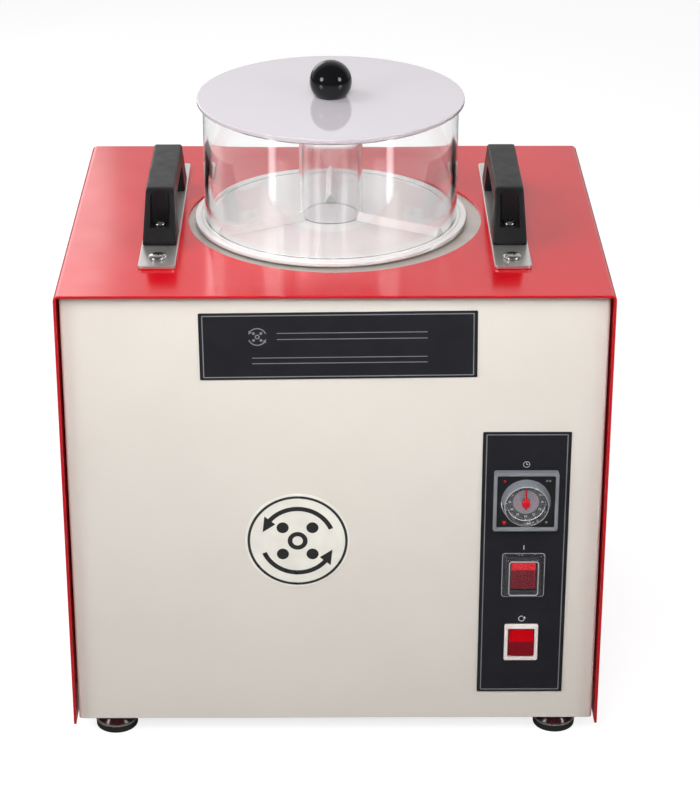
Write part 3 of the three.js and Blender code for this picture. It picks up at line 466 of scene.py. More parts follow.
def turned(bm, profile, place=(0, 0, 0), sides=ROUND, material=0, axis="Z", closed=False):
    """Turns a profile of (radius, height) points about an upright axis, or about Y for axis "Y"."""
    centre = Vector(place)
    rings = []
    for radius, height in profile:
        count = 1 if radius < 1e-9 else sides
        ring = []
        for i in range(count):
            angle = 2 * pi * i / sides
            x, y = radius * cos(angle), radius * sin(angle)
            local = Vector((x, y, height)) if axis == "Z" else Vector((x, height, y))
            ring.append(bm.verts.new(centre + local))
        rings.append(ring)
    pairs = list(zip(rings, rings[1:]))
    if closed:
        pairs.append((rings[-1], rings[0]))
    for first, second in pairs:
        for i in range(sides):
            j = (i + 1) % sides
            if len(first) == 1:
                face = (first[0], second[i], second[j])
            elif len(second) == 1:
                face = (first[i], first[j], second[0])
            else:
                face = (first[i], first[j], second[j], second[i])
            bm.faces.new(face).material_index = material


def move(bm, matrix):
    bmesh.ops.transform(bm, matrix=matrix, verts=bm.verts)


def flute(bm, centre, reach, front, back, depth):
    """Pulls every other vertex of a round wall about Y inwards, between two levels."""
    for vert in bm.verts:
        across, up = vert.co.x - centre[0], vert.co.z - centre[1]
        radius = hypot(across, up)
        if radius < reach or not front <= vert.co.y <= back:
            continue
        turn = round(atan2(up, across) / (2 * pi) * FLUTES * 2)
        if turn % 2:
            share = (radius - depth) / radius
            vert.co.x, vert.co.z = centre[0] + across * share, centre[1] + up * share


def arc(cx, cy, radius, start, stop, steps):
    """Points along an arc; angles are in degrees."""
    points = []
    for i in range(steps + 1):
        angle = radians(start + (stop - start) * i / steps)
        points.append((cx + radius * cos(angle), cy + radius * sin(angle)))
    return points


def rounded_outline(width, height, corner, steps=6):
    x, y = width / 2 - corner, height / 2 - corner
    return (arc(x, y, corner, 0, 90, steps) + arc(-x, y, corner, 90, 180, steps)
            + arc(-x, -y, corner, 180, 270, steps) + arc(x, -y, corner, 270, 360, steps))


def spot_in(place, plane):
    """A function that turns a point in the plane named, and a level off it, into a point in space."""
    centre = Vector(place)

    def spot(point, level):
        a, b = point
        return centre + Vector({"XZ": (a, level, b), "YZ": (level, a, b), "XY": (a, b, level)}[plane])

    return spot


def skin(bm, rows, around=True, material=0):
    """Faces between each row of points and the next. Around also joins the ends of each row."""
    for first, second in zip(rows, rows[1:]):
        for i in range(len(first) if around else len(first) - 1):
            j = (i + 1) % len(first)
            bm.faces.new((first[i], first[j], second[j], second[i])).material_index = material


def slab(bm, outline, low, high, place, plane="XZ", material=0):
    """An outline in the plane named, raised from low to high along the third axis."""
    spot = spot_in(place, plane)
    rows = [[bm.verts.new(spot(point, level)) for point in outline] for level in (low, high)]
    for row in rows:
        bm.faces.new(row).material_index = material
    skin(bm, rows, True, material)


def ring_slab(bm, outer, inner, low, high, place, plane="XZ", material=0):
    """The band between two outlines with the same number of points, raised from low to high."""
    spot = spot_in(place, plane)
    rows = [[bm.verts.new(spot(point, level)) for point in outline]
            for outline, level in ((outer, low), (outer, high), (inner, high), (inner, low))]
    skin(bm, rows + rows[:1], True, material)


def brick(bm, low, high, material=0):
    outline = [(low[0], low[1]), (high[0], low[1]), (high[0], high[1]), (low[0], high[1])]
    slab(bm, outline, low[2], high[2], (0, 0, 0), "XY", material)


def bent_channel(bm, half_width, leg, sheet, bend, steps, place_point, levels):
    """A sheet bent into a channel. place_point turns (across, up, along) into a point in space."""
    inner = bend - sheet
    outer_path = [(-half_width, leg)] + arc(-half_width + bend, bend, bend, 180, 270, steps)
    outer_path += arc(half_width - bend, bend, bend, 270, 360, steps) + [(half_width, leg)]
    inner_path = [(-half_width + sheet, leg)] + arc(-half_width + bend, bend, inner, 180, 270, steps)
    inner_path += arc(half_width - bend, bend, inner, 270, 360, steps) + [(half_width - sheet, leg)]
    rows = []
    for path, level in ((outer_path, levels[0]), (outer_path, levels[1]),
                        (inner_path, levels[1]), (inner_path, levels[0])):
        rows.append([bm.verts.new(place_point(a, b, level)) for a, b in path])
    skin(bm, rows + rows[:1], False)
    for end in (0, -1):
        bm.faces.new([row[end] for row in rows])


# ---- casing ----

WELL_CLEARANCE = 8.1
COVER_HALF_WIDTH = 200
COVER_SHEET = 2.0
COVER_BEND = 4.0
PANEL_SHEET = 1.5
PANEL_BEND = 2.5


def make_cover():
    low, high = corners("cover")

    def place_point(across, up, along):
        return Vector((across, along, high.z - up))

    bm = bmesh.new()
    bent_channel(bm, high.x, high.z - low.z, COVER_SHEET, COVER_BEND, 8, place_point, (low.y, high.y))
    cover = piece("cover_sheet", bm, ["red"], "root", ["cover"])
    radius = half_width("bowl_base") + WELL_CLEARANCE
    hole = bmesh.new()
    well_y = middle("bowl_base").y
    turned(hole, [(0, -20), (radius, -20), (radius, 20), (0, 20)], (0, well_y, high.z), BOWL_ROUND)
    carve(cover, hole)
    crease(cover)
    soften(cover, 0.45, 3)


def make_front_panel():
    low, high = corners("front_panel")

    def place_point(across, up, along):
        return Vector((across, low.y + up, along))

    bm = bmesh.new()
    bent_channel(bm, high.x, high.y - low.y, PANEL_SHEET, PANEL_BEND, 8, place_point, (low.z, high.z))
    inset = PANEL_SHEET * 0.9
    brick(bm, (low.x + inset, low.y + inset, high.z - PANEL_SHEET),
          (high.x - inset, high.y, high.z - 0.05))
    panel = piece("front_panel_sheet", bm, ["cream"], "root", ["front_panel"])
    soften(panel, 0.4, 2)


def make_feet():
    for node in ("foot_front_left", "foot_front_right", "foot_rear_left", "foot_rear_right"):
        low, high, centre = span(node)
        radius, height = half_width(node), high.z - low.z
        neck = radius - 6.6
        bm = bmesh.new()
        pad = [(0, 0)] + [(radius - 1.6 + a, 1.0 + b) for a, b in arc(0, 0, 1.0, 270, 360, 4)]
        pad += [(radius - 0.4, 5.6), (radius - 1.4, 6.0), (0, 6.0)]
        place = (centre.x, centre.y, low.z)
        turned(bm, pad, place, 72, 0)
        rim = [(radius - 2.5, 5.7), (radius - 0.3, 5.7), (radius, 6.1),
               (radius, 6.9), (radius - 0.4, 7.3), (radius - 2.5, 7.5)]
        turned(bm, rim, place, 72, 1, closed=True)
        cone = [(0, 6.5), (radius - 0.9, 6.9), (radius - 0.9, 7.25),
                (neck + 2.2, height * 0.80), (neck + 0.6, height * 0.93), (neck, height), (0, height)]
        turned(bm, cone, place, 72, 2)
        piece(f"{node}_made", bm, ["rubber", "plated", "foot_cone"], "root", [node], 40)


# ---- handles ----

GRIP_TOP_SHARE = 100 / 142
GRIP_BAR = 13
GRIP_FOOT = 27
GRIP_LEG_TAPER = 8
GRIP_TOP_WIDTH_SHARE = 21 / 25.5
GRIP_POCKET_WIDTH = 14.5
GRIP_POCKET_FLOOR = 12
PLATE_SCREW_HEAD = 3.4
GRIP_SCREW_HEAD = 3.2


def grip_outline(length, height):
    """The bridge grip from the side, as (along, up) about the middle of its underside."""
    foot = length / 2
    top = foot * GRIP_TOP_SHARE
    leg_foot = foot - GRIP_FOOT
    leg_top = leg_foot - GRIP_LEG_TAPER
    under = height - GRIP_BAR
    right = [(foot, 0), (foot, 3), (top + 4.2, height - 6), (top + 2.6, height - 3),
             (top + 0.4, height - 1), (top - 3, height)]
    outline = right + [(-a, b) for a, b in reversed(right)]
    inner = [(-leg_foot, 0), (-leg_top - 1.4, under - 6), (-leg_top + 0.4, under - 2),
             (-leg_top + 3, under - 0.4), (-leg_top + 7, under)]
    return outline + inner + [(-a, b) for a, b in reversed(inner)]


def make_grip(side):
    node = f"grip_{side}"
    low, high, centre = span(node)
    length, height, width = high.y - low.y, high.z - low.z, high.x - low.x
    bm = bmesh.new()
    place = (centre.x, centre.y, low.z)
    slab(bm, grip_outline(length, height), -width / 2, width / 2, place, "YZ")
    for vert in bm.verts:
        share = 1 - (1 - GRIP_TOP_WIDTH_SHARE) * (vert.co.z - low.z) / height
        vert.co.x = centre.x + (vert.co.x - centre.x) * share
    grip = piece(f"{node}_moulding", bm, ["grip"], "root", [node])
    soften(grip, 2.4, 5, 20)
    freeze(grip)
    for end in (-1, 1):
        tool = bmesh.new()
        near = length / 2 * GRIP_TOP_SHARE + 1
        ys = sorted((centre.y + end * near, centre.y + end * length))
        outline = rounded_outline(GRIP_POCKET_WIDTH, ys[1] - ys[0], 4, 6)
        slab(tool, outline, low.z + GRIP_POCKET_FLOOR, high.z + 5,
             (centre.x, (ys[0] + ys[1]) / 2, 0), "XY")
        carve(grip, tool)
    crease(grip)
    soften(grip, 0.6, 3, 50)


def make_grip_plate(side):
    node = f"grip_plate_{side}"
    low, high, centre = span(node)
    bm = bmesh.new()
    outline = rounded_outline(high.x - low.x, high.y - low.y, 3.2, 6)
    slab(bm, outline, low.z, high.z, (centre.x, centre.y, 0), "XY")
    plate = piece(f"{node}_strip", bm, ["strip_steel"], "root", [node])
    soften(plate, 0.4, 2)


def screw_head(node, head_height, facing="Z"):
    """A domed head with a cross recess, and its shank behind. It faces up, or out to +X or -X."""
    low, high = corners(node)
    if facing == "Z":
        length, radius = high.z - low.z, half_width(node)
        top, turn = Vector((middle(node).x, middle(node).y, high.z)), Matrix.Identity(4)
    else:
        sign = 1 if facing == "X" else -1
        length, radius = high.x - low.x, (high.z - low.z) / 2
        top = Vector((high.x if sign > 0 else low.x, middle(node).y, middle(node).z))
        turn = Matrix.Rotation(radians(90 * sign), 4, "Y")
    seat, shank, steps = -head_height, 0.5 * radius, 10
    crown = []
    for i in range(steps + 1):
        angle = radians(90 * i / steps)
        crown.append((radius * cos(angle) ** 0.75 if i < steps else 0,
                      seat + 0.3 * head_height + 0.7 * head_height * sin(angle)))
    profile = [(0, -length), (shank, -length), (shank, seat), (radius * 0.97, seat)]
    place = Matrix.Translation(top) @ turn
    bm = bmesh.new()
    turned(bm, profile + crown, (0, 0, 0), SMALL_ROUND)
    move(bm, place)
    made = piece(f"{node}_head", bm, ["plated"], "root", [node], 40)
    arm, blade, sunk = radius * 0.5, radius * 0.1, min(1.6, head_height * 0.6)
    for angle in (20, 110):
        tool = bmesh.new()
        brick(tool, (-arm, -blade, -sunk), (arm, blade, 2))
        move(tool, place @ Matrix.Rotation(radians(angle), 4, "Z"))
        carve(made, tool)
    crease(made, 40)


def make_handles():
    for side, facing in (("left", "-X"), ("right", "X")):
        make_grip_plate(side)
        make_grip(side)
        for end in ("front", "rear"):
            screw_head(f"plate_screw_{side}_{end}", PLATE_SCREW_HEAD)
            screw_head(f"grip_screw_{side}_{end}", GRIP_SCREW_HEAD)
            cover_screw = f"cover_screw_{side}_{end}"
            low, high = corners(cover_screw)
            screw_head(cover_screw, max(-low.x, high.x) - COVER_HALF_WIDTH, facing)


# ---- bowl and lid ----

BOWL_WALL = 4.2
HUB_WALL = 3
LID_RING_WALL = 4
SPIGOT_STEP = 5.2     # how far the spigot sits inside the flange
SPIGOT_HEIGHT = 2.8
RIDGES = 3
RIDGE_WIDTH = 10
RIDGE_HEIGHT = 6
KNOB_FLAT = 11.4      # radius of the flat under the ball


def rounded_ring(inner, outer, low, high):
    """Closed profile of an upright tube wall with rounded edges."""
    edge = 0.5
    points = []
    for radius, level, start in ((outer - edge, low + edge, 270), (outer - edge, high - edge, 0),
                                 (inner + edge, high - edge, 90), (inner + edge, low + edge, 180)):
        points += arc(radius, level, edge, start, start + 90, 4)
    return points


def make_bowl():
    base_low, base_high = corners("bowl_base")
    centre = middle("bowl_base")
    place = (centre.x, centre.y, 0)
    flange = half_width("bowl_base")
    spigot = flange - SPIGOT_STEP
    step = base_low.z + SPIGOT_HEIGHT
    wall_outer = half_width("bowl_wall")
    wall_inner = wall_outer - BOWL_WALL
    floor = base_high.z

    bm = bmesh.new()
    profile = [(0, base_low.z), (spigot - 0.5, base_low.z), (spigot, base_low.z + 0.5), (spigot, step)]
    profile += arc(flange - 0.6, step + 0.6, 0.6, 270, 360, 3)
    profile += arc(flange - 0.7, floor - 0.7, 0.7, 0, 90, 4)
    groove = wall_outer + 2.2
    profile += [(groove + 1.0, floor), (groove + 0.8, floor - 0.7), (groove, floor - 0.7),
                (groove - 0.2, floor)]
    profile += [(wall_outer + 0.2, floor), (wall_outer + 0.2, floor - 0.4),
                (wall_inner - 0.2, floor - 0.4), (wall_inner - 0.2, floor), (0, floor)]
    turned(bm, profile, place, BOWL_ROUND)
    # The floor inside the wall takes the darker acetal: painted shade under the lid.
    for face in bm.faces:
        reach = (face.calc_center_median() - Vector((centre.x, centre.y, floor))).length
        if reach < wall_inner and face.calc_center_median().z > floor - 0.1:
            face.material_index = 1
    piece("bowl_base_disc", bm, ["acetal", "bowl_floor_painted_shade"], "bowl", ["bowl_base"])

    bm = bmesh.new()
    wall = rounded_ring(wall_inner, wall_outer, floor - 0.3, corners("bowl_wall")[1].z)
    turned(bm, wall, place, BOWL_ROUND, closed=True)
    piece("bowl_wall_tube", bm, ["acrylic"], "bowl", ["bowl_wall"], 60)

    hub_outer = half_width("centre_tube")
    bm = bmesh.new()
    hub = rounded_ring(hub_outer - HUB_WALL, hub_outer, floor + 0.02, corners("centre_tube")[1].z)
    turned(bm, hub, place, 96, closed=True)
    piece("centre_tube_made", bm, ["hub_acrylic"], "bowl", ["centre_tube"], 60)

    start, stop = hub_outer + 0.4, wall_inner - 0.4
    section = [(-RIDGE_WIDTH / 2, 0), (RIDGE_WIDTH / 2, 0)] + [
        (1.6 * cos(radians(a)), RIDGE_HEIGHT - 1.4 + 1.4 * sin(radians(a))) for a in (30, 60, 90, 120, 150)]
    for i in range(RIDGES):
        bm = bmesh.new()
        slab(bm, section, start, stop, (0, 0, 0), "XZ")
        turn = Matrix.Translation((centre.x, centre.y, floor + 0.1)) @ Matrix.Rotation(
            2 * pi * i / RIDGES, 4, "Z")
        move(bm, turn)
        # The ridges take the same painted shade.
        ridge = piece(f"mixing_ridge_{i + 1}_made", bm, ["bowl_floor_painted_shade"], "bowl",
                      [f"mixing_ridge_{i + 1}"], 50)
        soften(ridge, 0.25, 2, 50)


def make_lid():
    low, high, centre = span("lid")
    place = (centre.x, centre.y, 0)
    radius, edge = half_width("lid"), 0.6
    bm = bmesh.new()
    profile = [(0, low.z)] + arc(radius - edge, low.z + edge, edge, 270, 360, 4)
    profile += arc(radius - edge, high.z - edge, edge, 0, 90, 4) + [(0, high.z)]
    turned(bm, profile, place, BOWL_ROUND)
    piece("lid_disc", bm, ["opal"], "lid", ["lid"])

    ring_low, ring_high = corners("lid_ring")
    ring_outer = half_width("lid_ring")
    bm = bmesh.new()
    ring = rounded_ring(ring_outer - LID_RING_WALL, ring_outer, ring_low.z, ring_high.z)
    turned(bm, ring, place, BOWL_ROUND, closed=True)
    piece("lid_ring_made", bm, ["acrylic"], "lid", ["lid_ring"], 60)

    knob_low, knob_high = corners("knob_ball")
    ball = half_width("knob_ball")
    ball_z = knob_high.z - ball
    bm = bmesh.new()
    profile = [(0, knob_low.z), (7.4, knob_low.z), (8, knob_low.z + 0.6),
               (8, low.z - 0.2), (4, low.z - 0.2), (4, high.z + 0.1)]
    start = asin(KNOB_FLAT / ball)
    steps = 40
    sphere = []
    for i in range(steps + 1):
        angle = start + (pi - start) * i / steps
        sphere.append((ball * sin(angle) if i < steps else 0, ball_z - ball * cos(angle)))
    profile += [(KNOB_FLAT - 0.5, sphere[0][1])] + sphere
    turned(bm, profile, place, 96)
    piece("knob_ball_made", bm, ["ball"], "lid", ["knob_ball"], 40)


# ---- plates, badge and printed marks ----

NAMEPLATE_SIZE = (200, 52)
NAMEPLATE_TILT = radians(0.6)
RULES = ((-44, 64, 10.2), (-44, 64, 5.4), (-62, 64, -9.0), (-62, 64, -13.4))  # left end, right end, height


def bordered_plate(name, node, tilt=0.0):
    """A black film plate with a fine silver line round it. Returns its face centre."""
    low, high, centre = span(node)
    width, height = NAMEPLATE_SIZE if tilt else (high.x - low.x, high.z - low.z)
    face = low.y
    bm = bmesh.new()
    slab(bm, rounded_outline(width, height, 0.8, 3), 0, high.y - low.y, (0, 0, 0))
    side, end, line = 2.4, 1.6, 0.75
    outer = rounded_outline(width - 2 * side, height - 2 * end, 0.6, 3)
    inner = rounded_outline(width - 2 * (side + line), height - 2 * (end + line), 0.3, 3)
    ring_slab(bm, outer, inner, -FILM, FILM, (0, 0, 0), "XZ", 1)
    turn = Matrix.Translation((centre.x, face, centre.z)) @ Matrix.Rotation(-tilt, 4, "Y")
    move(bm, turn)
    plate = piece(name, bm, ["print", "silver_ink"], "root", [node])
    soften(plate, 0.15, 2, 60)
    return Vector((centre.x, face, centre.z))


def ring_sector(bm, inner, outer, start, stop, place, material=0):
    """A printed arc band on a face that looks along -Y; angles are in degrees from +X towards +Z."""
    steps = max(4, int(abs(stop - start) / 5))
    outline = arc(0, 0, outer, start, stop, steps) + arc(0, 0, inner, stop, start, steps)
    slab(bm, outline, -FILM, FILM, place, "XZ", material)


def polar(place, radius, degrees):
    """A point at a distance from a place, turned about Y from +X towards +Z."""
    return Vector(place) + Vector((radius * cos(radians(degrees)), 0, radius * sin(radians(degrees))))


def printed_ring(bm, inner, outer, place, sides, material):
    profile = [(inner, -FILM), (outer, -FILM), (outer, FILM), (inner, FILM)]
    turned(bm, profile, place, sides, material, "Y", closed=inner > 0)


def rotor_motif(bm, place, radius, material):
    """A generic sign: a hub, four round magnets and the two arrows of a turning rotor."""
    printed_ring(bm, radius * 0.10, radius * 0.19, place, 40, material)
    for i in range(4):
        printed_ring(bm, 0, radius * 0.115, polar(place, radius * 0.40, 45 + 90 * i), 32, material)
    for start in (22, 202):
        tail = start + 118
        ring_sector(bm, radius * 0.64, radius * 0.73, start, tail, place, material)
        barb = [(radius * r * cos(radians(a)), radius * r * sin(radians(a)))
                for r, a in ((0.55, tail), (0.82, tail), (0.69, tail + 24))]
        slab(bm, barb, -FILM, FILM, place, "XZ", material)


def make_badge():
    low, high, centre = span("badge")
    radius = half_width("badge")
    place = (centre.x, low.y, centre.z)
    thick = high.y - low.y
    bm = bmesh.new()
    turned(bm, [(0, 0), (radius - 0.2, 0), (radius, 0.2), (radius, thick), (0, thick)], place, ROUND, 0, "Y")
    printed_ring(bm, radius * 0.905, radius * 0.955, place, ROUND, 1)
    rotor_motif(bm, place, radius, 1)
    piece("badge_disc", bm, ["badge_white", "badge_black"], "root", ["badge"], 40)


def make_plates():
    face = bordered_plate("nameplate_film", "nameplate", NAMEPLATE_TILT)
    bm = bmesh.new()
    rotor_motif(bm, (face.x - 58, face.y, face.z + 7.6), 9.5, 0)
    for left, right, up in RULES:
        brick(bm, (face.x + left, face.y - FILM, face.z + up - 0.3),
              (face.x + right, face.y + FILM, face.z + up + 0.3))
    turn = Matrix.Rotation(-NAMEPLATE_TILT, 4, "Y")
    move(bm, Matrix.Translation(face) @ turn @ Matrix.Translation(-face))
    piece("nameplate_marks", bm, ["silver_ink"], "root")
    bordered_plate("control_plate_film", "control_plate")


def make_control_marks():
    """Small generic signs above each control: a clock, an upright stroke and a turning arrow."""
    face = corners("control_plate")[0].y
    bm = bmesh.new()
    timer = corners("timer_case")[1].z + 4.6
    x = middle("control_plate").x
    printed_ring(bm, 2.1, 2.5, (x, face, timer), 32, 0)
    brick(bm, (x - 0.2, face - FILM, timer), (x + 0.2, face + FILM, timer + 1.5))
    brick(bm, (x, face - FILM, timer - 0.2), (x + 1.2, face + FILM, timer + 0.2))
    on_z = corners("on_switch_boot")[1].z + 4.2
    brick(bm, (x - 0.3, face - FILM, on_z - 1.8), (x + 0.3, face + FILM, on_z + 1.8))
    again = corners("restart_switch_case")[1].z + 4.4
    ring_sector(bm, 1.9, 2.4, 60, 360, (x, face, again))
    slab(bm, [(1.0, 0.2), (3.3, 0.2), (2.15, 1.9)], -FILM, FILM, (x, face, again))
    piece("control_marks", bm, ["white_ink"], "root")


# ---- timer ----

TIMER_MARKS = (  # across, up, radius, material
    (-15.5, -17.6, 1.4, 1), (-15.8, 16.6, 0.9, 1), (15.2, 16.8, 0.8, 2), (17.4, 16.8, 0.8, 2),
    (15.6, -17.4, 0.9, 2))
FACE_RECESS = 2.0
BEZEL_WALL = 2.6
CASE_HALF = 22.3     # half the width of the case behind the plate
SCALE_RADIUS = 15.6
DISC_RADIUS = 9.6
NUMBER_RADIUS = 11.9
DOT_RADIUS = 7.6
DIAL_TAPER = 2
DIAL_DEPTH = 8.5
DIAL_DISH = 6
DIAL_WALL = 2
SHAFT = 3


def make_timer():
    low, high, centre = span("timer_case")
    x, z, front = centre.x, centre.z, low.y
    plate_face = corners("control_plate")[0].y
    size = high.x - low.x
    face = front + FACE_RECESS
    within = size - 2 * BEZEL_WALL

    bm = bmesh.new()
    outer = rounded_outline(size, size, 2, 5)
    inner = rounded_outline(within, within, 1.2, 5)
    ring_slab(bm, outer, inner, front, plate_face, (x, 0, z))
    bezel = piece("timer_bezel", bm, ["frame_grey"], "root")
    soften(bezel, 0.35, 3)

    bm = bmesh.new()
    slab(bm, rounded_outline(within, within, 1, 4), face, plate_face, (x, 0, z))
    brick(bm, (x - CASE_HALF, plate_face, z - CASE_HALF), (x + CASE_HALF, high.y, z + CASE_HALF))
    for across, up, radius, ink in TIMER_MARKS:
        turned(bm, [(0, -0.15), (radius, -0.15), (radius, 0.05), (0, 0.05)],
               (x + across, face, z + up), 24, ink, "Y")
    piece("timer_face", bm, ["black", "red_mark", "silver_ink"], "root", ["timer_case"])
    make_dial_print(x, z, face)
    make_dial(x, z)


def make_dial_print(x, z, face):
    """The fixed scale under the clear dial: a black ring with ticks and numbers round a grey disc."""
    bm = bmesh.new()
    layer = face - 0.12
    turned(bm, [(0, 0), (SCALE_RADIUS, 0), (SCALE_RADIUS, 0.1), (0, 0.1)], (x, layer, z), 96, 0, "Y")
    turned(bm, [(0, -0.1), (DISC_RADIUS, -0.1), (DISC_RADIUS, 0), (0, 0)], (x, layer, z), 72, 1, "Y")
    for i in range(12):
        tick = bmesh.new()
        brick(tick, (13.9, -0.08, -0.14), (15.2, 0, 0.14), 2)
        move(tick, Matrix.Translation((x, layer, z)) @ Matrix.Rotation(-radians(90 - i * 30), 4, "Y"))
        merge_into(bm, tick)
    for i in range(12):
        add_number(bm, str(i * 5), polar((x, layer - 0.08, z), NUMBER_RADIUS, 90 - i * 30), 2.2, 2)
    for i in range(12):
        turned(bm, [(0, -0.06), (0.35, -0.06), (0.35, 0), (0, 0)],
               polar((x, layer - 0.1, z), DOT_RADIUS, 75 - i * 30), 12, 3, "Y")
    piece("dial_scale", bm, ["print", "lavender", "white_ink", "red_mark"], "root", (), 40)


def merge_into(bm, other):
    mesh = bpy.data.meshes.new("part")
    other.to_mesh(mesh)
    other.free()
    bm.from_mesh(mesh)
    bpy.data.meshes.remove(mesh)


def add_number(bm, text, spot, height, material):
    """Adds a number that faces -Y, centred on the spot."""
    curve = bpy.data.curves.new("number", "FONT")
    curve.body = text
    curve.size = height
    curve.align_x = "CENTER"
    curve.align_y = "CENTER"
    curve.extrude = 0.03
    curve.resolution_u = 3
    holder = bpy.data.objects.new("number", curve)
    bpy.context.collection.objects.link(holder)
    graph = bpy.context.evaluated_depsgraph_get()
    mesh = bpy.data.meshes.new_from_object(holder.evaluated_get(graph))
    mesh.transform(Matrix.Translation(spot) @ Matrix.Rotation(radians(90), 4, "X"))
    before = len(bm.faces)
    bm.from_mesh(mesh)
    bm.faces.ensure_lookup_table()
    for face in bm.faces[before:]:
        face.material_index = material
    bpy.data.objects.remove(holder)
    bpy.data.curves.remove(curve)
    bpy.data.meshes.remove(mesh)


def make_dial(x, z):
    """A tapered clear knob with a fluted matt wall, a bright front rim and a dish for the pointer."""
    low, high = corners("timer_dial")
    wide = half_width("timer_dial")
    narrow = wide - DIAL_TAPER
    inner = narrow - DIAL_WALL
    front, back, dish = low.y, low.y + DIAL_DEPTH, low.y + DIAL_DISH
    rim = arc(narrow - 0.6, front + 0.6, 0.6, 0, -90, 4)
    bm = bmesh.new()
    for profile, material in (
            ([(wide - 0.3, back), (wide, back - 0.5), (narrow + 0.2, front + 1.6), rim[0]], 1),
            (rim, 2),
            ([rim[-1], (inner + 0.2, front + 0.1), (inner, front + 0.8), (inner - 0.3, dish), (0, dish)], 0),
            ([(SHAFT, back), (wide - 0.3, back)], 0)):
        turned(bm, profile, (x, 0, z), FLUTES * 2, material, "Y")
    for face in bm.faces:
        if face.material_index == 1 and face.calc_center_median().z < z:
            face.material_index = 0
    flute(bm, (x, z), narrow + 0.1, front + 1.5, back - 0.4, 0.3)
    turned(bm, [(SHAFT, back), (SHAFT, high.y), (0, high.y)], (x, 0, z), FLUTES * 2, 0, "Y")
    piece("dial_knob", bm, ["acrylic", "frosted", "rim"], "timer_dial", ["timer_dial"], 40)

    low, high = corners("timer_pointer")
    hub = half_width("timer_pointer")
    tip = high.z - z
    bm = bmesh.new()
    turned(bm, [(0, low.y), (hub - 0.7, low.y), (hub, low.y + 0.7), (hub, high.y), (0, high.y)],
           (x, 0, z), 40, 0, "Y")
    outline = [(-0.9, -4.6), (0.9, -4.6), (0.75, 0), (0.4, tip), (-0.4, tip), (-0.75, 0)]
    slab(bm, outline, low.y + 1.1, high.y - 0.2, (x, 0, z))
    pointer = piece("dial_pointer", bm, ["red_mark"], "timer_dial", ["timer_pointer"], 40)
    soften(pointer, 0.12, 2, 50)


# ---- switches ----

ROCKER_TILT = radians(-6)
RIB_PITCH = 1.15
WINDOW_WIDTH = 20
WINDOW_HEIGHT = 24.1


def make_switch_case(node, material):
    low, high, centre = span(node)
    face = corners("control_plate")[0].y
    outer = rounded_outline(high.x - low.x, high.z - low.z, 1.4, 5)
    inner = rounded_outline(WINDOW_WIDTH, WINDOW_HEIGHT, 0.5, 5)
    bm = bmesh.new()
    ring_slab(bm, outer, inner, low.y, face - 0.02, (centre.x, 0, centre.z))
    body_outer = rounded_outline(22, 28, 0.6, 5)
    ring_slab(bm, body_outer, inner, face + 0.05, high.y - 8, (centre.x, 0, centre.z))
    slab(bm, body_outer, high.y - 7.9, high.y, (centre.x, 0, centre.z))
    case = piece(f"{node}_made", bm, [material], "root", [node])
    soften(case, 0.5, 3)
    step_outer = rounded_outline(WINDOW_WIDTH + 2.6, WINDOW_HEIGHT + 3.4, 0.9, 5)
    bm = bmesh.new()
    ring_slab(bm, step_outer, inner, low.y - 0.25, low.y + 0.4, (centre.x, 0, centre.z))
    step = piece(f"{node}_step", bm, [material], "root")
    soften(step, 0.2, 2)


def make_rocker(node, body, ridge_up, bright, darker_red):
    """A rocker, bright above its low ridge and ribbed below, where a darker copy of its red is painted shade
    on the face that turns down. ridge_up is the ridge's height.
    """
    switch = node.replace("_rocker", "_case")
    centre = middle(switch)
    pivot_y = corners("control_plate")[0].y + 3
    half_height = WINDOW_HEIGHT / 2 - 0.75
    half_across = WINDOW_WIDTH / 2 - 0.75
    foot, ridge, crown = (-5.2, -half_height), (-6.8, ridge_up), (-3.8, half_height)
    outline = [foot, ridge, crown, (2, half_height / 2), (4, 0), (2, -half_height / 2)]
    bm = bmesh.new()
    slab(bm, outline, -half_across, half_across, (0, 0, 0), "YZ", 0)
    # The lower front faces take the darker red: painted shade where the face turns down.
    for face in bm.faces:
        spot = face.calc_center_median()
        if abs(spot.x) < half_across / 2 and spot.y < -4 and spot.z < ridge_up - 1:
            face.material_index = 1
    turn = Matrix.Translation((centre.x, pivot_y, centre.z)) @ Matrix.Rotation(ROCKER_TILT, 4, "X")
    move(bm, turn)
    rocker = piece(f"{node}_made", bm, [bright, darker_red], body, [node])
    soften(rocker, 0.4, 3, 14)

    bm = bmesh.new()
    count = int((ridge_up + half_height - 2.4) / RIB_PITCH)
    for i in range(count):
        up = -half_height + 1.6 + i * RIB_PITCH
        share = (up - foot[1]) / (ridge[1] - foot[1])
        level = foot[0] + (ridge[0] - foot[0]) * share
        section = [(level + 0.2, up - 0.38), (level - 0.16, up - 0.16),
                   (level - 0.18, up + 0.14), (level + 0.2, up + 0.36)]
        slab(bm, section, -half_across + 1.1, half_across - 1.1, (0, 0, 0), "YZ", 0)
    move(bm, turn)
    # The ribs take the same painted shade.
    piece(f"{node}_ribs", bm, [darker_red], body)


BOOT_WALL = 0.9
BOOT_ROWS = (  # share of the depth, how much narrower, corner
    (0.0, 0.0, 2.4), (0.16, 0.0, 2.4), (0.24, 1.4, 2.6), (0.80, 6.6, 2.8), (0.93, 8.2, 2.8), (1.0, 9.6, 2.4))
# Grey bands round the boot's window and skirt: painted highlight where the clear edges catch the light.
BOOT_PAINTED_EDGE_BANDS = ((1.0, 9.6, 2.4, 0.8, 1), (0.16, 0.0, 2.4, 0.5, 2))  # the same, then band width, material


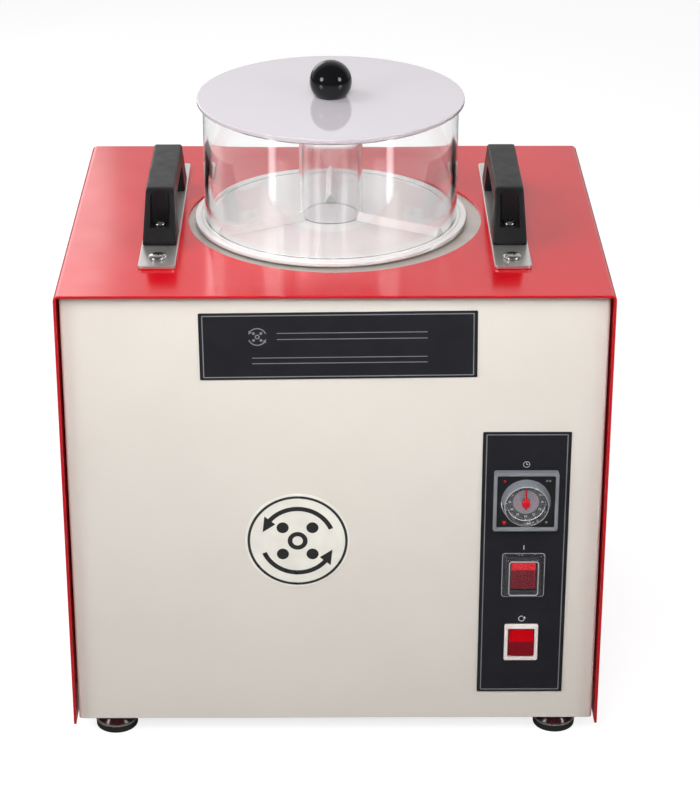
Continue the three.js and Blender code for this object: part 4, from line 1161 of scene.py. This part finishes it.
def make_boot():
    """The clear soft boot over the on switch: a skirt that leans in to a flat window."""
    low, high, centre = span("on_switch_boot")
    width, height, depth = high.x - low.x, high.z - low.z, high.y - low.y

    def outline(narrower, corner, inset=0.0):
        return rounded_outline(width - narrower - 2 * inset, height - narrower * 0.82 - 2 * inset, corner, 6)

    bm = bmesh.new()
    outside, inside = [], []
    for along, narrower, corner in BOOT_ROWS:
        outside.append([bm.verts.new((centre.x + a, high.y - depth * along, centre.z + b))
                        for a, b in outline(narrower, corner)])
    for along, narrower, corner in reversed(BOOT_ROWS):
        inside.append([bm.verts.new((centre.x + a, high.y - (depth - BOOT_WALL) * along, centre.z + b))
                       for a, b in outline(narrower, corner - 0.7, BOOT_WALL)])
    skin(bm, outside)
    skin(bm, inside + outside[:1])
    bm.faces.new(outside[-1])
    bm.faces.new(inside[0])
    # Each band is painted highlight on a clear edge of the boot.
    for along, narrower, corner, band, ink in BOOT_PAINTED_EDGE_BANDS:
        level = high.y - depth * along
        ring_slab(bm, outline(narrower, corner), outline(narrower, corner - band, band),
                  level - 0.05, level + 0.35, (centre.x, 0, centre.z), "XZ", ink)
    piece("on_switch_boot_made", bm, ["boot", "boot_edge_painted_highlight", "frame_grey"], "root",
          ["on_switch_boot"], 50)


def make_switches():
    make_switch_case("on_switch_case", "black")
    make_switch_case("restart_switch_case", "bezel_white")
    # The second red of each rocker is painted shade for its lower face. The ON rocker's first red is also
    # darkened, as painted shade of the boot.
    make_rocker("on_switch_rocker", "on_rocker", 4.5, "lens_on", "lens_on_painted_shade")
    make_rocker("restart_switch_rocker", "restart_rocker", 1.2, "lens", "lens_painted_shade")
    make_boot()


# ---- rear fan guard ----

GUARD_RINGS = (12, 23, 34)
GUARD_WIRE = 1.6


def wire(bm, path, radius, sides=10):
    """A round wire along a path of points that bends only in one plane through Y."""
    rows, last = [], None
    for i, point in enumerate(path):
        along = (path[min(len(path) - 1, i + 1)] - path[max(0, i - 1)]).normalized()
        out = along.orthogonal() if abs(along.y) > 0.99 else along.cross(Vector((0, 1, 0)))
        out.normalize()
        if last and out.dot(last) < 0:
            out = -out
        last = out
        other = along.cross(out).normalized()
        turns = [2 * pi * k / sides for k in range(sides)]
        rows.append([bm.verts.new(point + radius * (cos(t) * out + sin(t) * other)) for t in turns])
    skin(bm, rows)
    bm.faces.new(rows[0])
    bm.faces.new(rows[-1])


def make_fan_guard():
    """Three wire rings on four wire arms, which bend back to the panel at their screws."""
    low, high, centre = span("fan_guard")
    reach = hypot(high.x - centre.x, high.z - centre.z) - 2 * GUARD_WIRE
    crown = high.y - GUARD_WIRE
    bm = bmesh.new()
    for ring in GUARD_RINGS:
        turned(bm, arc(ring, 0, GUARD_WIRE, 0, 330, 11), (centre.x, crown, centre.z), 64, 0, "Y", closed=True)
    hub = Vector((centre.x, crown - 1.5 * GUARD_WIRE, centre.z))
    for turn in (45, 135, 225, 315):
        way = polar((0, 0, 0), 1, turn)
        path = [hub + way * 6, hub + way * (reach - 4), hub + way * (reach - 1.2) - Vector((0, 1.2, 0)),
                hub + way * reach - Vector((0, 4, 0))]
        path.append(Vector((path[-1].x, low.y + 0.1, path[-1].z)))
        wire(bm, path, GUARD_WIRE * 0.8)
    piece("fan_guard_wires", bm, ["plated"], "root", ["fan_guard"], 50)


# ---- pieces that keep their CAD shape ----

KEPT = {
    "cream": ["rear_panel", "base_plate"],
    "deck_steel": ["deck_plate"],
    "plated": ["motor_shaft"],
    "machine_grey": ["motor_stand", "motor_body"],
    "aluminium": ["rotor_disc", "run_capacitor"],
    "nickel": ["magnet_1", "magnet_2", "magnet_3", "magnet_4"],
    "black": ["fan_frame", "fan_impeller", "power_inlet", "fuse_holder"],
}
EDGED = ("rear_panel", "base_plate", "deck_plate", "fan_frame", "power_inlet", "fuse_holder", "motor_stand")


def dress_kept_nodes():
    for material, nodes in KEPT.items():
        for node in nodes:
            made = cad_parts[node]
            for slot in made.material_slots:
                slot.material = M[material]
            if node in EDGED:
                soften(made, 0.3, 2, 50)


make_camera()
make_materials()
make_studio()
make_cover()
make_front_panel()
make_feet()
make_handles()
make_bowl()
make_lid()
make_plates()
make_badge()
make_control_marks()
make_timer()
make_switches()
make_fan_guard()
dress_kept_nodes()
even_normals()
